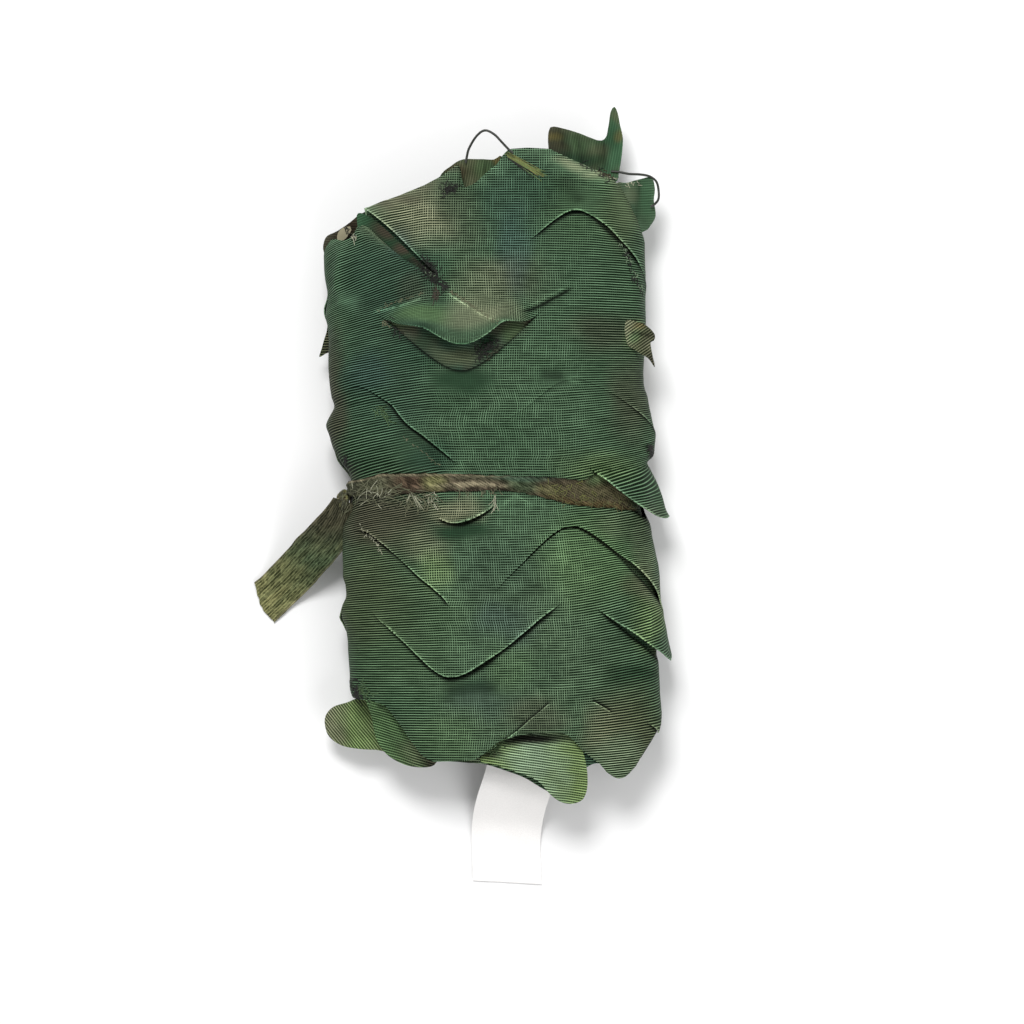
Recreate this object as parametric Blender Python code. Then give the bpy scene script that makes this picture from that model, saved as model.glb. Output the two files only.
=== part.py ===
"""Camouflage netting, folded lengthwise, rolled up flat and tied round its middle.

The bundle lies on its back: +Y runs along the roll, +X across it, +Z up from the surface it rests on.
The origin lies under the middle of its box. Sizes below are in millimetres; MM turns them into metres.
"""

import math

import bmesh
import bpy
from mathutils import Vector
from mathutils.geometry import interpolate_bezier

MM = 0.001

# ---------------------------------------------------------------- driving sizes

GAP = 0.35              # clearance between neighbouring pieces
SHEET = 1.6             # thickness of a leaf or flap of the netting
ROUNDNESS = 2.8         # exponent of the flattened section: 2 is an ellipse, more is boxier
FLAT_SPOT = 1.2         # how far the roll's own weight presses its underside flat
COLUMNS = 48            # faces round the roll

WAIST_Y = 3.5           # middle of the tie along the roll
TIE_WIDTH = 12.5        # the strap, drawn narrow where it goes round
TIE_THICK = 2.0
WAIST_BAND = 8.5        # half width of the groove that the tie has pulled in
WAIST_DEPTH = 3.2       # depth of that groove
WAIST_EASE = 9.0        # length over which the roll swells back

TURN_PITCH = 7.5        # cloth and air of one main turn
TURN_RINGS = 3          # rings of points to a turn
TURN_GROOVE = 4.5       # depth of the valley between two turns
END_RECESS = 1.6        # the inner turns lie this far inside the outermost

TAIL_WIDTH = 20.5
LABEL_WIDTH = 35.5
LABEL_THICK = 1.0
CORD_RADIUS = 0.6

# Stations along the roll: its left and right side and its height
STATIONS = (
    # y, left, right, height
    (-140, -52, 91.5, 46),
    (-128, -53, 97, 49),
    (-118, -54, 101.3, 52),
    (-88, -55, 100.5, 57),
    (-58, -57.5, 100.5, 57),
    (-28, -60, 98.5, 56),
    (3, -60.5, 95, 54),
    (34, -64.5, 95.5, 56),
    (60, -64, 92.2, 57),
    (85, -66.2, 92.6, 57),
    (120, -66, 92, 54),
    (160, -66, 92.5, 44),
)

# Edge of the outermost turn at each end, followed from left to right
TOP_EDGE = (
    # x, y
    (-68, 129.5), (-60, 132), (-49, 142), (-30, 152), (-15, 156), (-6, 152), (4, 155), (16, 165),
    (22, 175), (44, 175.5), (60, 167), (77, 161), (93, 159),
)
BOTTOM_EDGE = (
    # x, y
    (-56, -97), (-44, -119), (-25, -129), (-11, -130), (10, -132), (30, -138), (46, -139.5),
    (58, -136), (69, -131.5), (88, -138.5), (102, -138.5),
)

# Rows of faces along the roll where they run straight round it, and the shares of the way from the
# last of them to each uneven end
MIDDLE_ROWS = (-78, -62, -46, -31, -20, -13, -9, -5, 3.5, 12, 16, 20, 27, 40, 55, 70, 84)
END_ROWS = (0.3, 0.6, 0.85, 1.0)

# Leaf tongues cut in the outermost turn. x is their middle, tip_y their tip; way is +1 for a tongue
# that points up the roll and -1 for one that points down. lift is how far the tip stands off, and
# flare how far its right and left sides stand off beyond that.
LEAVES = (
    # name, x, tip_y, way, half_span, length, lift, flare
    ("left_1", -58, 137, 1, 42, 42, 2.4, 0),
    ("left_2", -58, 56, 1, 46, 37, 2.2, 0),
    ("left_3", -58, -14, 1, 46, 38, 2.0, 0),
    ("left_4", -44, -92, 1, 30, 20, 2.0, 0),
    ("middle_1", 2.5, 74, -1, 48, 30, 4.2, 0),
    ("middle_2", 3.5, -15, -1, 17, 5.5, 2.4, 0),
    ("middle_3", 2.5, -88, -1, 47, 36, 2.4, 0),
    ("right_1", 57.5, 141, 1, 36, 36, 2.2, 0),
    ("right_2", 57.5, 60, 1, 43, 34, 2.2, 0),
    ("right_3", 57.5, -14, 1, 43, 34, 2.2, 0),
    ("right_4", 57.5, -99, 1, 36, 28, 2.0, 0),
    ("side_1", 112, 66, -1, 34, 24, 4.5, 1.0),
    ("side_2", 110, -12, -1, 42, 46, 7.5, 0.5),
    ("side_3", 112, -83, -1, 42, 36, 3.5, 0.5),
)
LEAF_ROOT = 6.0         # how far a tongue runs back past its cut, inside the roll
LEAF_BLUNT = 0.30       # roundness of a tongue's tip
LEAF_GRID = (8, 3)      # faces across and along a tongue
LEAF_LIMIT = 12.0       # how far past the roll's side a tongue may reach towards the underside

# Flaps of the same cloth that stand out past the roll's outline. Each outline is closed and runs
# through its points in turn; z is its height at the root, and fall its drop for each mm away.
FLAPS = {
    "top": dict(z=33, root=(55, 150), fall=0.10, points=(
        (47, 166), (45, 184), (50, 186), (70, 179.5), (73.5, 181), (74.5, 191), (77, 197),
        (79, 193), (81, 184), (78, 160), (74, 148), (52, 150))),
    "corner": dict(z=31, root=(85, 140), fall=0.25, points=(
        (79, 157), (95, 160), (97.5, 154), (97.6, 144), (93.5, 135), (84, 134), (76, 144))),
    "inner": dict(z=38, root=(5, 145), fall=0.05, points=(
        (-11, 160), (-2, 166), (3, 169), (21, 169.5), (23, 160), (14, 148), (-8, 148))),
    "pocket": dict(z=28, root=(-50, 125), fall=0.05, points=(
        (-66, 131), (-60, 136), (-48, 144), (-40, 146), (-40, 136), (-52, 122), (-62, 122))),
    "left_spike": dict(z=26, root=(-58, 82), fall=0.55, points=(
        (-60, 88), (-66, 88), (-71.3, 72), (-62, 73.5), (-57, 78))),
    "left_lobe": dict(z=22, root=(-45, -98), fall=0.22, points=(
        (-53, -97), (-63, -102), (-68.3, -110), (-66, -119), (-55, -125), (-40, -126.5),
        (-36, -118), (-40, -100))),
    "dark_lobe": dict(z=31, root=(-30, -108), fall=0.22, points=(
        (-44, -108), (-45, -118), (-37, -127), (-26, -133), (-14, -133), (-11, -126),
        (-14, -110), (-30, -102))),
    "front_lobe": dict(z=42, root=(38, -118), fall=0.30, points=(
        (14, -126), (22, -118), (50, -118), (58, -124), (63, -136), (64, -146), (60, -151.5),
        (52, -152.5), (42, -147), (26, -137))),
}
FLAP_BEND = 0.0020      # extra drop that grows with the square of the distance from the root

# The strap's knot and its free end, which falls from the knot and then lies on the surface
KNOT = (-63.7, -3.0, 30.0)
KNOT_SIZE = (4.6, 6.8, 8.0)
TAIL_ROUTE = (
    # x, y, z, half width
    (-63.8, -6.0, 31.0, 5.0),
    (-66.0, -12.5, 31.0, 5.0),
    (-68.3, -18.0, 28.5, 8.2),
    (-72.4, -24.3, 22.5, 9.8),
    (-78.7, -31.6, 14.0, 10.3),
    (-85.4, -38.9, 6.5, 10.3),
    (-92.0, -45.5, 2.5, 10.3),
    (-98.5, -52.4, 1.5, 10.3),
)
TAIL_SLANT = 3.5        # the free end is cut a little askew

# The label's centre line, from between two turns down to the surface
LABEL_ROUTE = (
    # x, y, z
    (31.8, -124.0, 23.0),
    (30.8, -134.0, 23.0),
    (29.5, -140.0, 22.9),
    (27.8, -146.0, 20.6),
    (26.0, -152.0, 15.6),
    (24.6, -158.0, 9.4),
    (23.5, -165.0, 4.0),
    (22.9, -174.0, 1.2),
    (23.3, -185.0, 0.7),
    (23.6, -195.0, 0.7),
)
SLOT_SIDE = 2.5         # room round the label's head in the gap between its two turns
SLOT_DEPTH = 40.0       # length of that gap, out past the roll's end

# Centre lines of the two loops of edge cord; both ends of each lie on the cloth
CORD_LEFT = (
    # x, y, z
    (3.0, 167.0, 38.4), (3.6, 170.5, 38.7), (4.8, 174.5, 40.0), (8.4, 180.0, 42.3),
    (12.5, 182.7, 43.5), (17.0, 180.8, 44.2), (20.5, 177.3, 44.2), (24.0, 173.6, 43.8),
    (26.5, 171.3, 43.75),
)
CORD_RIGHT = (
    # x, y, z
    (75.5, 163.6, 31.6), (79.5, 163.3, 32.0), (84.5, 162.3, 32.0), (90.0, 162.2, 30.6),
    (95.0, 161.4, 28.6), (98.4, 158.8, 27.2), (99.5, 154.0, 26.8), (99.2, 149.8, 28.2),
    (97.0, 147.2, 29.6), (95.4, 146.2, 29.7),
)

COLOURS = {
    # node: base colour, roughness
    "netting_roll": ((0.050, 0.088, 0.055, 1), 0.75),
    "tie": ((0.070, 0.075, 0.030, 1), 0.80),
    "label": ((0.66, 0.66, 0.63, 1), 0.60),
    "edge_cord_left": ((0.030, 0.035, 0.025, 1), 0.70),
    "edge_cord_right": ((0.015, 0.015, 0.012, 1), 0.70),
}


# ---------------------------------------------------------------- helpers

def read_table(table, at, column=1):
    """Value of a column of a table, between the two rows on either side of at."""
    if at <= table[0][0]:
        return table[0][column]
    for low, high in zip(table, table[1:]):
        if at <= high[0]:
            share = (at - low[0]) / (high[0] - low[0])
            return low[column] + share * (high[column] - low[column])
    return table[-1][column]


def ease(value):
    """Smooth step from 0 to 1."""
    value = min(max(value, 0.0), 1.0)
    return value * value * (3.0 - 2.0 * value)


def signed_power(value, exponent):
    return math.copysign(abs(value) ** exponent, value)


def add_object(name, bm):
    """Make an object in metres from a bmesh in millimetres, with its own material."""
    bmesh.ops.scale(bm, vec=(MM, MM, MM), verts=bm.verts)
    mesh = bpy.data.meshes.new(name)
    bm.to_mesh(mesh)
    bm.free()
    mesh.shade_smooth()
    mesh.set_sharp_from_angle(angle=math.radians(35))
    item = bpy.data.objects.new(name, mesh)
    bpy.context.scene.collection.objects.link(item)
    return item


def paint(item):
    """Give a node its own Principled material."""
    colour, roughness = COLOURS[item.name]
    material = bpy.data.materials.new(item.name)
    material.use_nodes = True
    shader = material.node_tree.nodes["Principled BSDF"]
    shader.inputs["Base Color"].default_value = colour
    shader.inputs["Roughness"].default_value = roughness
    shader.inputs["Metallic"].default_value = 0.0
    item.data.materials.clear()
    item.data.materials.append(material)


def hide_as_cutter(item):
    item.hide_render = True
    item.display_type = "WIRE"


def join_boolean(item, other, operation):
    modifier = item.modifiers.new(operation.title(), "BOOLEAN")
    modifier.operation = operation
    modifier.solver = "EXACT"
    modifier.object = other


def slab_on_grid(across, along):
    """A flat slab over the unit square, z = 0 below and z = 1 above, cut into a grid."""
    bm = bmesh.new()
    bmesh.ops.create_grid(bm, x_segments=across, y_segments=along, size=0.5)
    bmesh.ops.translate(bm, vec=(0.5, 0.5, 0), verts=bm.verts)
    top = bmesh.ops.extrude_face_region(bm, geom=bm.faces[:])["geom"]
    raised = [v for v in top if isinstance(v, bmesh.types.BMVert)]
    bmesh.ops.translate(bm, vec=(0, 0, 1), verts=raised)
    bmesh.ops.recalc_face_normals(bm, faces=bm.faces)
    return bm


# ---------------------------------------------------------------- the roll's surface

def waist(y):
    """How far the tie draws the roll in at y, from 0 to 1."""
    return 1.0 - ease((abs(y - WAIST_Y) - WAIST_BAND) / WAIST_EASE)


def section_unit(turn):
    """Point of the section's unit outline; turn runs once round from the crown towards +X."""
    angle = 2.0 * math.pi * turn
    power = 2.0 / ROUNDNESS
    return signed_power(math.sin(angle), power), signed_power(math.cos(angle), power)


def measure_girth(samples=720):
    """Distance round the nominal section, as rows of (distance, turn)."""
    half_width = 0.5 * (STATIONS[5][2] - STATIONS[5][1])
    half_height = 0.5 * STATIONS[5][3]
    rows = [(0.0, 0.0)]
    last = None
    for step in range(samples + 1):
        turn = step / samples
        unit_x, unit_z = section_unit(turn)
        point = Vector((unit_x * half_width, unit_z * half_height))
        if last is not None:
            rows.append((rows[-1][0] + (point - last).length, turn))
        last = point
    return rows


GIRTH_ROWS = measure_girth()
GIRTH = GIRTH_ROWS[-1][0]


def turn_at(distance):
    """Part of a whole turn reached after a distance round the roll from its crown."""
    return read_table(GIRTH_ROWS, distance % GIRTH)


def skin_point(distance, y, inset=0.0, pinched=True):
    """Point of the roll's skin, or inside it by inset, at a distance round it from the crown."""
    left = read_table(STATIONS, y, 1)
    right = read_table(STATIONS, y, 2)
    height = read_table(STATIONS, y, 3)
    depth = inset + (WAIST_DEPTH * waist(y) if pinched else 0.0)
    unit_x, unit_z = section_unit(turn_at(distance))
    x = 0.5 * (left + right) + unit_x * (0.5 * (right - left) - depth)
    z = 0.5 * height - FLAT_SPOT + unit_z * (0.5 * height - depth)
    return Vector((x, y, max(z, 0.0) if inset <= 0.0 else z))


def skin_offset(distance, y, out):
    """Point that stands off the unpinched skin by out, along the skin's normal."""
    here = skin_point(distance, y, pinched=False)
    before = skin_point(distance - 1.0, y, pinched=False)
    after = skin_point(distance + 1.0, y, pinched=False)
    return here + (after - before).cross(Vector((0.0, 1.0, 0.0))).normalized() * out


def distance_of_x(x, y):
    """Distance round the upper skin at which the cloth, laid flat, reaches x."""
    return x - 0.5 * (read_table(STATIONS, y, 1) + read_table(STATIONS, y, 2))


def end_point(column, ring, end):
    """Point of an end's rings of turns; end is +1 for the top and -1 for the bottom."""
    distance = GIRTH * column / COLUMNS
    edge = TOP_EDGE if end > 0 else BOTTOM_EDGE
    start = MIDDLE_ROWS[-1] if end > 0 else MIDDLE_ROWS[0]
    inset = ring * TURN_PITCH / TURN_RINGS
    guess = skin_point(distance, start, inset).x
    y = read_table(edge, guess)
    point = skin_point(distance, y, inset)
    if ring > 0:
        phase = inset / TURN_PITCH - column / COLUMNS
        valley = 0.5 - 0.5 * math.cos(2.0 * math.pi * phase)
        uneven = math.sin(5.0 * math.pi * column / COLUMNS + 1.7 * inset)
        point.y -= end * (END_RECESS + TURN_GROOVE * valley + 0.8 * uneven)
    return point


def row_point(column, row):
    return skin_point(GIRTH * column / COLUMNS, row)


def end_row_point(column, share, end):
    """Point between the last straight row and the rim of an uneven end."""
    start = MIDDLE_ROWS[-1] if end > 0 else MIDDLE_ROWS[0]
    y = start + share * (end_point(column, 0, end).y - start)
    return row_point(column, y)


def roll_rings():
    """Rings of points from the heart of the bottom end, over the skin, to the heart of the top end."""
    heart = int((0.5 * STATIONS[0][3] - 1.5) / (TURN_PITCH / TURN_RINGS))
    rings = []
    for ring in range(heart, 0, -1):
        rings.append([end_point(column, ring, -1) for column in range(COLUMNS)])
    for share in reversed(END_ROWS):
        rings.append([end_row_point(column, share, -1) for column in range(COLUMNS)])
    for row in MIDDLE_ROWS:
        rings.append([row_point(column, row) for column in range(COLUMNS)])
    for share in END_ROWS:
        rings.append([end_row_point(column, share, 1) for column in range(COLUMNS)])
    heart_top = int((0.5 * STATIONS[-1][3] - 1.5) / (TURN_PITCH / TURN_RINGS))
    for ring in range(1, heart_top + 1):
        rings.append([end_point(column, ring, 1) for column in range(COLUMNS)])
    return rings


def close_heart(bm, ring):
    """Close the slot at the heart of an end with a ladder of faces between its two long sides."""
    count = len(ring)
    bm.faces.new((ring[0], ring[1], ring[-1]))
    for step in range(1, count // 2 - 1):
        bm.faces.new((ring[step], ring[step + 1], ring[-step - 1], ring[-step]))
    middle = count // 2
    bm.faces.new((ring[middle - 1], ring[middle], ring[middle + 1]))


def make_roll_body():
    """The wound form: its skin, the waist, and the main turns at both ends."""
    bm = bmesh.new()
    rings = [[bm.verts.new(point) for point in ring] for ring in roll_rings()]
    for low, high in zip(rings, rings[1:]):
        for column in range(COLUMNS):
            after = (column + 1) % COLUMNS
            bm.faces.new((low[column], low[after], high[after], high[column]))
    close_heart(bm, rings[0])
    close_heart(bm, rings[-1])
    bmesh.ops.triangulate(bm, faces=bm.faces)
    bmesh.ops.recalc_face_normals(bm, faces=bm.faces)
    return add_object("netting_roll", bm)


# ---------------------------------------------------------------- leaves and flaps

def leaf_reach(across):
    """How far a tongue reaches past its root at a place across it, from 0 at its ends to 1."""
    blunt = LEAF_BLUNT
    full = math.sqrt(1.0 + blunt * blunt) - blunt
    return 1.0 - (math.sqrt(across * across + blunt * blunt) - blunt) / full


def leaf_distance(centre, half_span, across):
    """Distance round the roll at a place across a tongue, kept clear of the underside."""
    room = 0.25 * GIRTH + LEAF_LIMIT - abs(centre)
    span = min(half_span, room) if across * centre > 0.0 else half_span
    return centre + span * across


def make_leaf(name, x, tip_y, way, half_span, length, lift, flare):
    """A leaf tongue: a thin sheet that leaves the skin at its root and stands off at its tip."""
    bm = slab_on_grid(*LEAF_GRID)
    for vert in bm.verts:
        across = 2.0 * vert.co.x - 1.0
        along = vert.co.y
        below = SHEET * (1.0 - vert.co.z)
        reach = LEAF_ROOT + length * leaf_reach(across)
        y = tip_y - way * (length + LEAF_ROOT) + way * reach * along
        rise = lift * (1.0 - 0.6 * across * across) + flare * abs(across)
        out = -SHEET + (rise + SHEET) * along ** 1.3
        distance = leaf_distance(distance_of_x(x, y), half_span, across)
        vert.co = skin_offset(distance, y, out - below)
    bmesh.ops.triangulate(bm, faces=bm.faces)
    bmesh.ops.recalc_face_normals(bm, faces=bm.faces)
    return add_object("leaf_" + name, bm)


def rounded_outline(points, steps=2):
    """A closed outline through the points, its corners eased by short curves."""
    count = len(points)
    outline = []
    for index in range(count):
        before, here, after, beyond = (Vector((*points[(index + k) % count], 0)) for k in (-1, 0, 1, 2))
        handle_out = here + (after - before) / 6.0
        handle_in = after - (beyond - here) / 6.0
        outline.extend(interpolate_bezier(here, handle_out, handle_in, after, steps + 1)[:-1])
    return outline


def make_flap(name, z, root, fall, points):
    """A flap: a sheet on its outline that droops with the distance from its root."""
    bm = bmesh.new()
    face = bm.faces.new([bm.verts.new(point) for point in rounded_outline(points)])
    if face.normal.z < 0:
        face.normal_flip()
    bmesh.ops.triangulate(bm, faces=bm.faces, ngon_method="BEAUTY")
    top = bmesh.ops.extrude_face_region(bm, geom=bm.faces[:])["geom"]
    raised = [v for v in top if isinstance(v, bmesh.types.BMVert)]
    bmesh.ops.translate(bm, vec=(0, 0, SHEET), verts=raised)
    for vert in bm.verts:
        away = math.hypot(vert.co.x - root[0], vert.co.y - root[1])
        vert.co.z += max(z - fall * away - FLAP_BEND * away * away, 0.0)
    bmesh.ops.recalc_face_normals(bm, faces=bm.faces)
    return add_object("flap_" + name, bm)


def make_label_slot():
    """The gap between two turns that the label's head lies in, a close fit above and below it."""
    x, y, z = LABEL_ROUTE[0]
    size = (LABEL_WIDTH + 2 * SLOT_SIDE, SLOT_DEPTH, LABEL_THICK + 2 * GAP)
    bm = bmesh.new()
    bmesh.ops.create_cube(bm, size=1.0)
    bmesh.ops.scale(bm, vec=size, verts=bm.verts)
    bmesh.ops.translate(bm, vec=(x - 0.5, y + SLOT_SIDE - 0.5 * SLOT_DEPTH, z), verts=bm.verts)
    return add_object("label_slot", bm)


def make_netting_roll():
    roll = make_roll_body()
    for leaf in LEAVES:
        piece = make_leaf(*leaf)
        hide_as_cutter(piece)
        join_boolean(roll, piece, "UNION")
    for name, flap in FLAPS.items():
        piece = make_flap(name, **flap)
        hide_as_cutter(piece)
        join_boolean(roll, piece, "UNION")
    slot = make_label_slot()
    hide_as_cutter(slot)
    join_boolean(roll, slot, "DIFFERENCE")
    return roll


# ---------------------------------------------------------------- tie, label and cords

def make_tie_band():
    """The strap round the waist, a closed band one clearance outside the groove."""
    bm = slab_on_grid(COLUMNS, 2)
    ends = [face for face in bm.faces if abs(face.normal.x) > 0.5]
    bmesh.ops.delete(bm, geom=ends, context="FACES_ONLY")
    for vert in bm.verts:
        distance = GIRTH * vert.co.x
        crumple = 0.8 * math.sin(9.0 * math.pi * vert.co.x) * (vert.co.y - 0.5)
        y = WAIST_Y + TIE_WIDTH * (vert.co.y - 0.5) + crumple
        out = GAP + TIE_THICK * vert.co.z
        vert.co = skin_point(distance, y, -out)
        vert.co.y = y
    bmesh.ops.remove_doubles(bm, verts=bm.verts, dist=0.01)
    bmesh.ops.triangulate(bm, faces=bm.faces)
    bmesh.ops.recalc_face_normals(bm, faces=bm.faces)
    return add_object("tie", bm)


def make_knot():
    """The knot: a lump of the strap drawn tight, seated on the band."""
    bm = bmesh.new()
    bmesh.ops.create_uvsphere(bm, u_segments=14, v_segments=8, radius=1.0)
    for vert in bm.verts:
        swirl = 1.0 + 0.12 * math.sin(3.0 * math.atan2(vert.co.y, vert.co.x) + 4.0 * vert.co.z)
        vert.co = Vector((vert.co.x * KNOT_SIZE[0], vert.co.y * KNOT_SIZE[1], vert.co.z * KNOT_SIZE[2])) * swirl
        vert.co += Vector(KNOT)
    return add_object("knot", bm)


def route_frames(route):
    """Points of a route with the flat direction across it at each."""
    frames = []
    for index, row in enumerate(route):
        before = Vector(route[max(index - 1, 0)][:3])
        after = Vector(route[min(index + 1, len(route) - 1)][:3])
        along = (after - before).normalized()
        across = along.cross(Vector((0, 0, 1))).normalized()
        frames.append((Vector(row[:3]), across, across.cross(along).normalized()))
    return frames


def make_strip(name, route, half_widths, thickness, slant=0.0):
    """A flat strip along a route, its faces up and down."""
    frames = route_frames(route)
    bm = slab_on_grid(2, len(route) - 1)
    for vert in bm.verts:
        step = round(vert.co.y * (len(route) - 1))
        centre, across, up = frames[step]
        side = 2.0 * vert.co.x - 1.0
        place = centre + across * side * half_widths[step] + up * thickness * (vert.co.z - 0.5)
        if step == len(route) - 1:
            place += across.cross(up) * slant * side
        vert.co = place
    bmesh.ops.triangulate(bm, faces=bm.faces)
    bmesh.ops.recalc_face_normals(bm, faces=bm.faces)
    return add_object(name, bm)


def make_tie():
    tie = make_tie_band()
    knot = make_knot()
    tail = make_strip("tail", TAIL_ROUTE, [row[3] for row in TAIL_ROUTE], TIE_THICK, TAIL_SLANT)
    for piece in (knot, tail):
        hide_as_cutter(piece)
        join_boolean(tie, piece, "UNION")
    return tie


def make_label():
    widths = [0.5 * LABEL_WIDTH] * len(LABEL_ROUTE)
    return make_strip("label", LABEL_ROUTE, widths, LABEL_THICK)


def make_cord(name, points):
    """A loop of edge cord: a round tube on a smooth line through its points."""
    samples = []
    for index in range(len(points) - 1):
        here, after = Vector(points[index]), Vector(points[index + 1])
        before = Vector(points[max(index - 1, 0)])
        beyond = Vector(points[min(index + 2, len(points) - 1)])
        curve = interpolate_bezier(here, here + (after - before) / 6, after - (beyond - here) / 6, after, 4)
        samples.extend(curve[:-1])
    samples.append(Vector(points[-1]))
    curve = bpy.data.curves.new(name, "CURVE")
    curve.dimensions = "3D"
    curve.bevel_depth = CORD_RADIUS * MM
    curve.bevel_resolution = 2
    curve.use_fill_caps = True
    spline = curve.splines.new("POLY")
    spline.points.add(len(samples) - 1)
    for place, point in zip(spline.points, samples):
        place.co = (*(point * MM), 1.0)
    cord = bpy.data.objects.new(name, curve)
    bpy.context.scene.collection.objects.link(cord)
    return cord


def main():
    for item in list(bpy.data.objects):
        bpy.data.objects.remove(item, do_unlink=True)
    nodes = [
        make_netting_roll(),
        make_tie(),
        make_label(),
        make_cord("edge_cord_left", CORD_LEFT),
        make_cord("edge_cord_right", CORD_RIGHT),
    ]
    for node in nodes:
        paint(node)


main()
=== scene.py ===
"""Looks of a rolled-up camouflage netting: leaf-cut cloth, strap tie, label and loops of edge cord.

The tables below are in millimetres, in the frame's own axes: x across the roll, y along it and z up.
A distance round the roll is measured from its crown, positive towards +x and down its right side.
"""

import math
import random
from bisect import bisect_right

import bmesh
import bpy
from bpy.props import FloatProperty, FloatVectorProperty, IntProperty, PointerProperty
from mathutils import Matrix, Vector, noise
from mathutils.geometry import delaunay_2d_cdt, interpolate_bezier


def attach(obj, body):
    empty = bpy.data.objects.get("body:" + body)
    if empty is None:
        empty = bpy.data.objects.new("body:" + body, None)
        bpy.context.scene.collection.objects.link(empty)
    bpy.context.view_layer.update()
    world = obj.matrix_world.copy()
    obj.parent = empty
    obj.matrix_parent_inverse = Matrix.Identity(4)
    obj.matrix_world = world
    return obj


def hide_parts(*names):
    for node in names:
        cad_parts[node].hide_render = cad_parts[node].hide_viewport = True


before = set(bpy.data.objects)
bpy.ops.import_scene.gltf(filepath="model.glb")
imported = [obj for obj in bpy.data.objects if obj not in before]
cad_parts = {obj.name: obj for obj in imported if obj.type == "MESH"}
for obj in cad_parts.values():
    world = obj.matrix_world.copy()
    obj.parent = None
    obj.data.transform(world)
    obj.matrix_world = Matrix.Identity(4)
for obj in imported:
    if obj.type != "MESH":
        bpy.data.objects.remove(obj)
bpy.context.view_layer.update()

bl_info = {
    "name": "Rolled camouflage netting",
    "version": (1, 0, 0),
    "blender": (4, 5, 0),
    "location": "View3D > Sidebar > Netting",
    "description": "Builds the cloth, tie, label and cords of a rolled camouflage netting",
    "category": "Object",
}

MM = 0.001
UP = Vector((0.0, 0.0, 1.0))
ALONG = Vector((0.0, 1.0, 0.0))

# The cloth's UV map and its attributes
WEAVE_UV = "weave"
TINT = "tint"           # the dye, with how far the lengthwise threads show as its alpha
CRISP = "crisp"         # how crisply the weave shows
WEAR_AND_HIGHLIGHT = "wear_and_highlight"           # nearness to an edge with wear and a painted highlight, from 0 at MARK_REACH from it to 1 on it
SHADED = "shaded"       # the same, to an edge in painted shade, lying in another's shadow
MARK_REACH = 3.0


# ------------ the roll's shape

ROUNDNESS = 2.8         # exponent of the flattened section: 2 is an ellipse, more is boxier
FLAT_SPOT = 1.2         # how far the roll's own weight presses its underside flat
NOMINAL_WIDTH = 158.5
NOMINAL_HEIGHT = 56.0
SECTION_STEPS = 720

WAIST_Y = 3.5           # where the tie draws the roll in, over this half width, and how deep
WAIST_BAND = 8.0
WAIST_EASE = 10.0
WAIST_DEPTH = 3.2

# The roll's left and right side and its height along it
LEFT_EDGE = (
    # y, x
    (-150, -50), (-140, -52), (-118, -54), (-98, -55), (-73.5, -55.5), (-68.5, -56), (-63.5, -57),
    (-58.5, -59), (-53.5, -58.5), (-48.5, -56.5), (-43.5, -57), (-38.5, -58.5), (-18, -58.5), (-8, -58),
    (6.5, -57.5), (11.5, -58), (16.5, -60), (21.5, -62), (26.5, -64), (31.5, -65.5), (36.5, -67), (41.5, -65),
    (46.5, -62.5), (51.5, -64), (61.5, -65), (71.5, -65), (76, -65), (86, -65.5), (91.5, -66.5), (101, -66),
    (111, -67), (121, -67.5), (131.5, -67), (140, -67), (180, -65),
)
RIGHT_EDGE = (
    # y, x
    (-150, 90), (-138.5, 92), (-133.5, 94.5), (-123, 98.5), (-113, 101.5), (-108, 101), (-93.5, 100),
    (-58, 100.5), (-48.5, 99.5), (-40, 99.5), (-33.5, 99), (-28.5, 98), (-23.5, 97), (-13.5, 95.5),
    (11, 95), (19, 94.3), (21.5, 96.3), (26.5, 97), (31.5, 97.5), (36.5, 96.5), (41.5, 95.5), (46.5, 94.5),
    (51.5, 93.5), (56.5, 91.5), (61.5, 91), (71, 91.5), (86.5, 92.5), (121, 92), (136, 92.5), (180, 92),
)
HEIGHTS = (
    # y, height
    (-150, 44), (-140, 46), (-128, 49), (-118, 52), (-104, 55), (-88, 57), (-58, 57), (-28, 56), (3, 54),
    (34, 56), (60, 57), (86, 57), (100, 56), (120, 54), (140, 49.5), (160, 44), (180, 38),
)

# Edge of the outermost turn at each end, followed from left to right
TOP_EDGE = (
    # x, y
    (-68, 129.6), (-62, 129.2), (-57.5, 128.6), (-54, 131), (-51.5, 136.5), (-48.5, 142), (-40, 146.5),
    (-30, 150.8), (-20, 155), (-12, 158.5), (-7.5, 162), (-2.5, 166), (-0.6, 166.5), (0.4, 160), (1.2, 154.5),
    (5, 155.5), (12, 161.5), (18, 166.5), (20.5, 171), (24, 174.3), (34, 174.8), (43, 174.5), (50, 171.5),
    (60, 167), (70, 162.8), (78, 158), (83, 151), (88, 142), (92, 134),
)
BOTTOM_EDGE = (
    # x, y
    (-56, -99), (-46, -100), (-38, -101.5), (-30, -111.5), (-24, -120.5), (-17, -128), (-11, -130),
    (0, -129.6), (8, -129.2), (13, -126), (20, -120), (28, -116.8), (40, -115.6), (51, -115.2), (57, -119),
    (64, -125), (72, -129.6), (76, -133), (82, -136.8), (88, -138.8), (91, -138.3), (93.5, -135), (96, -127),
    (99, -117), (101, -111),
)

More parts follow.
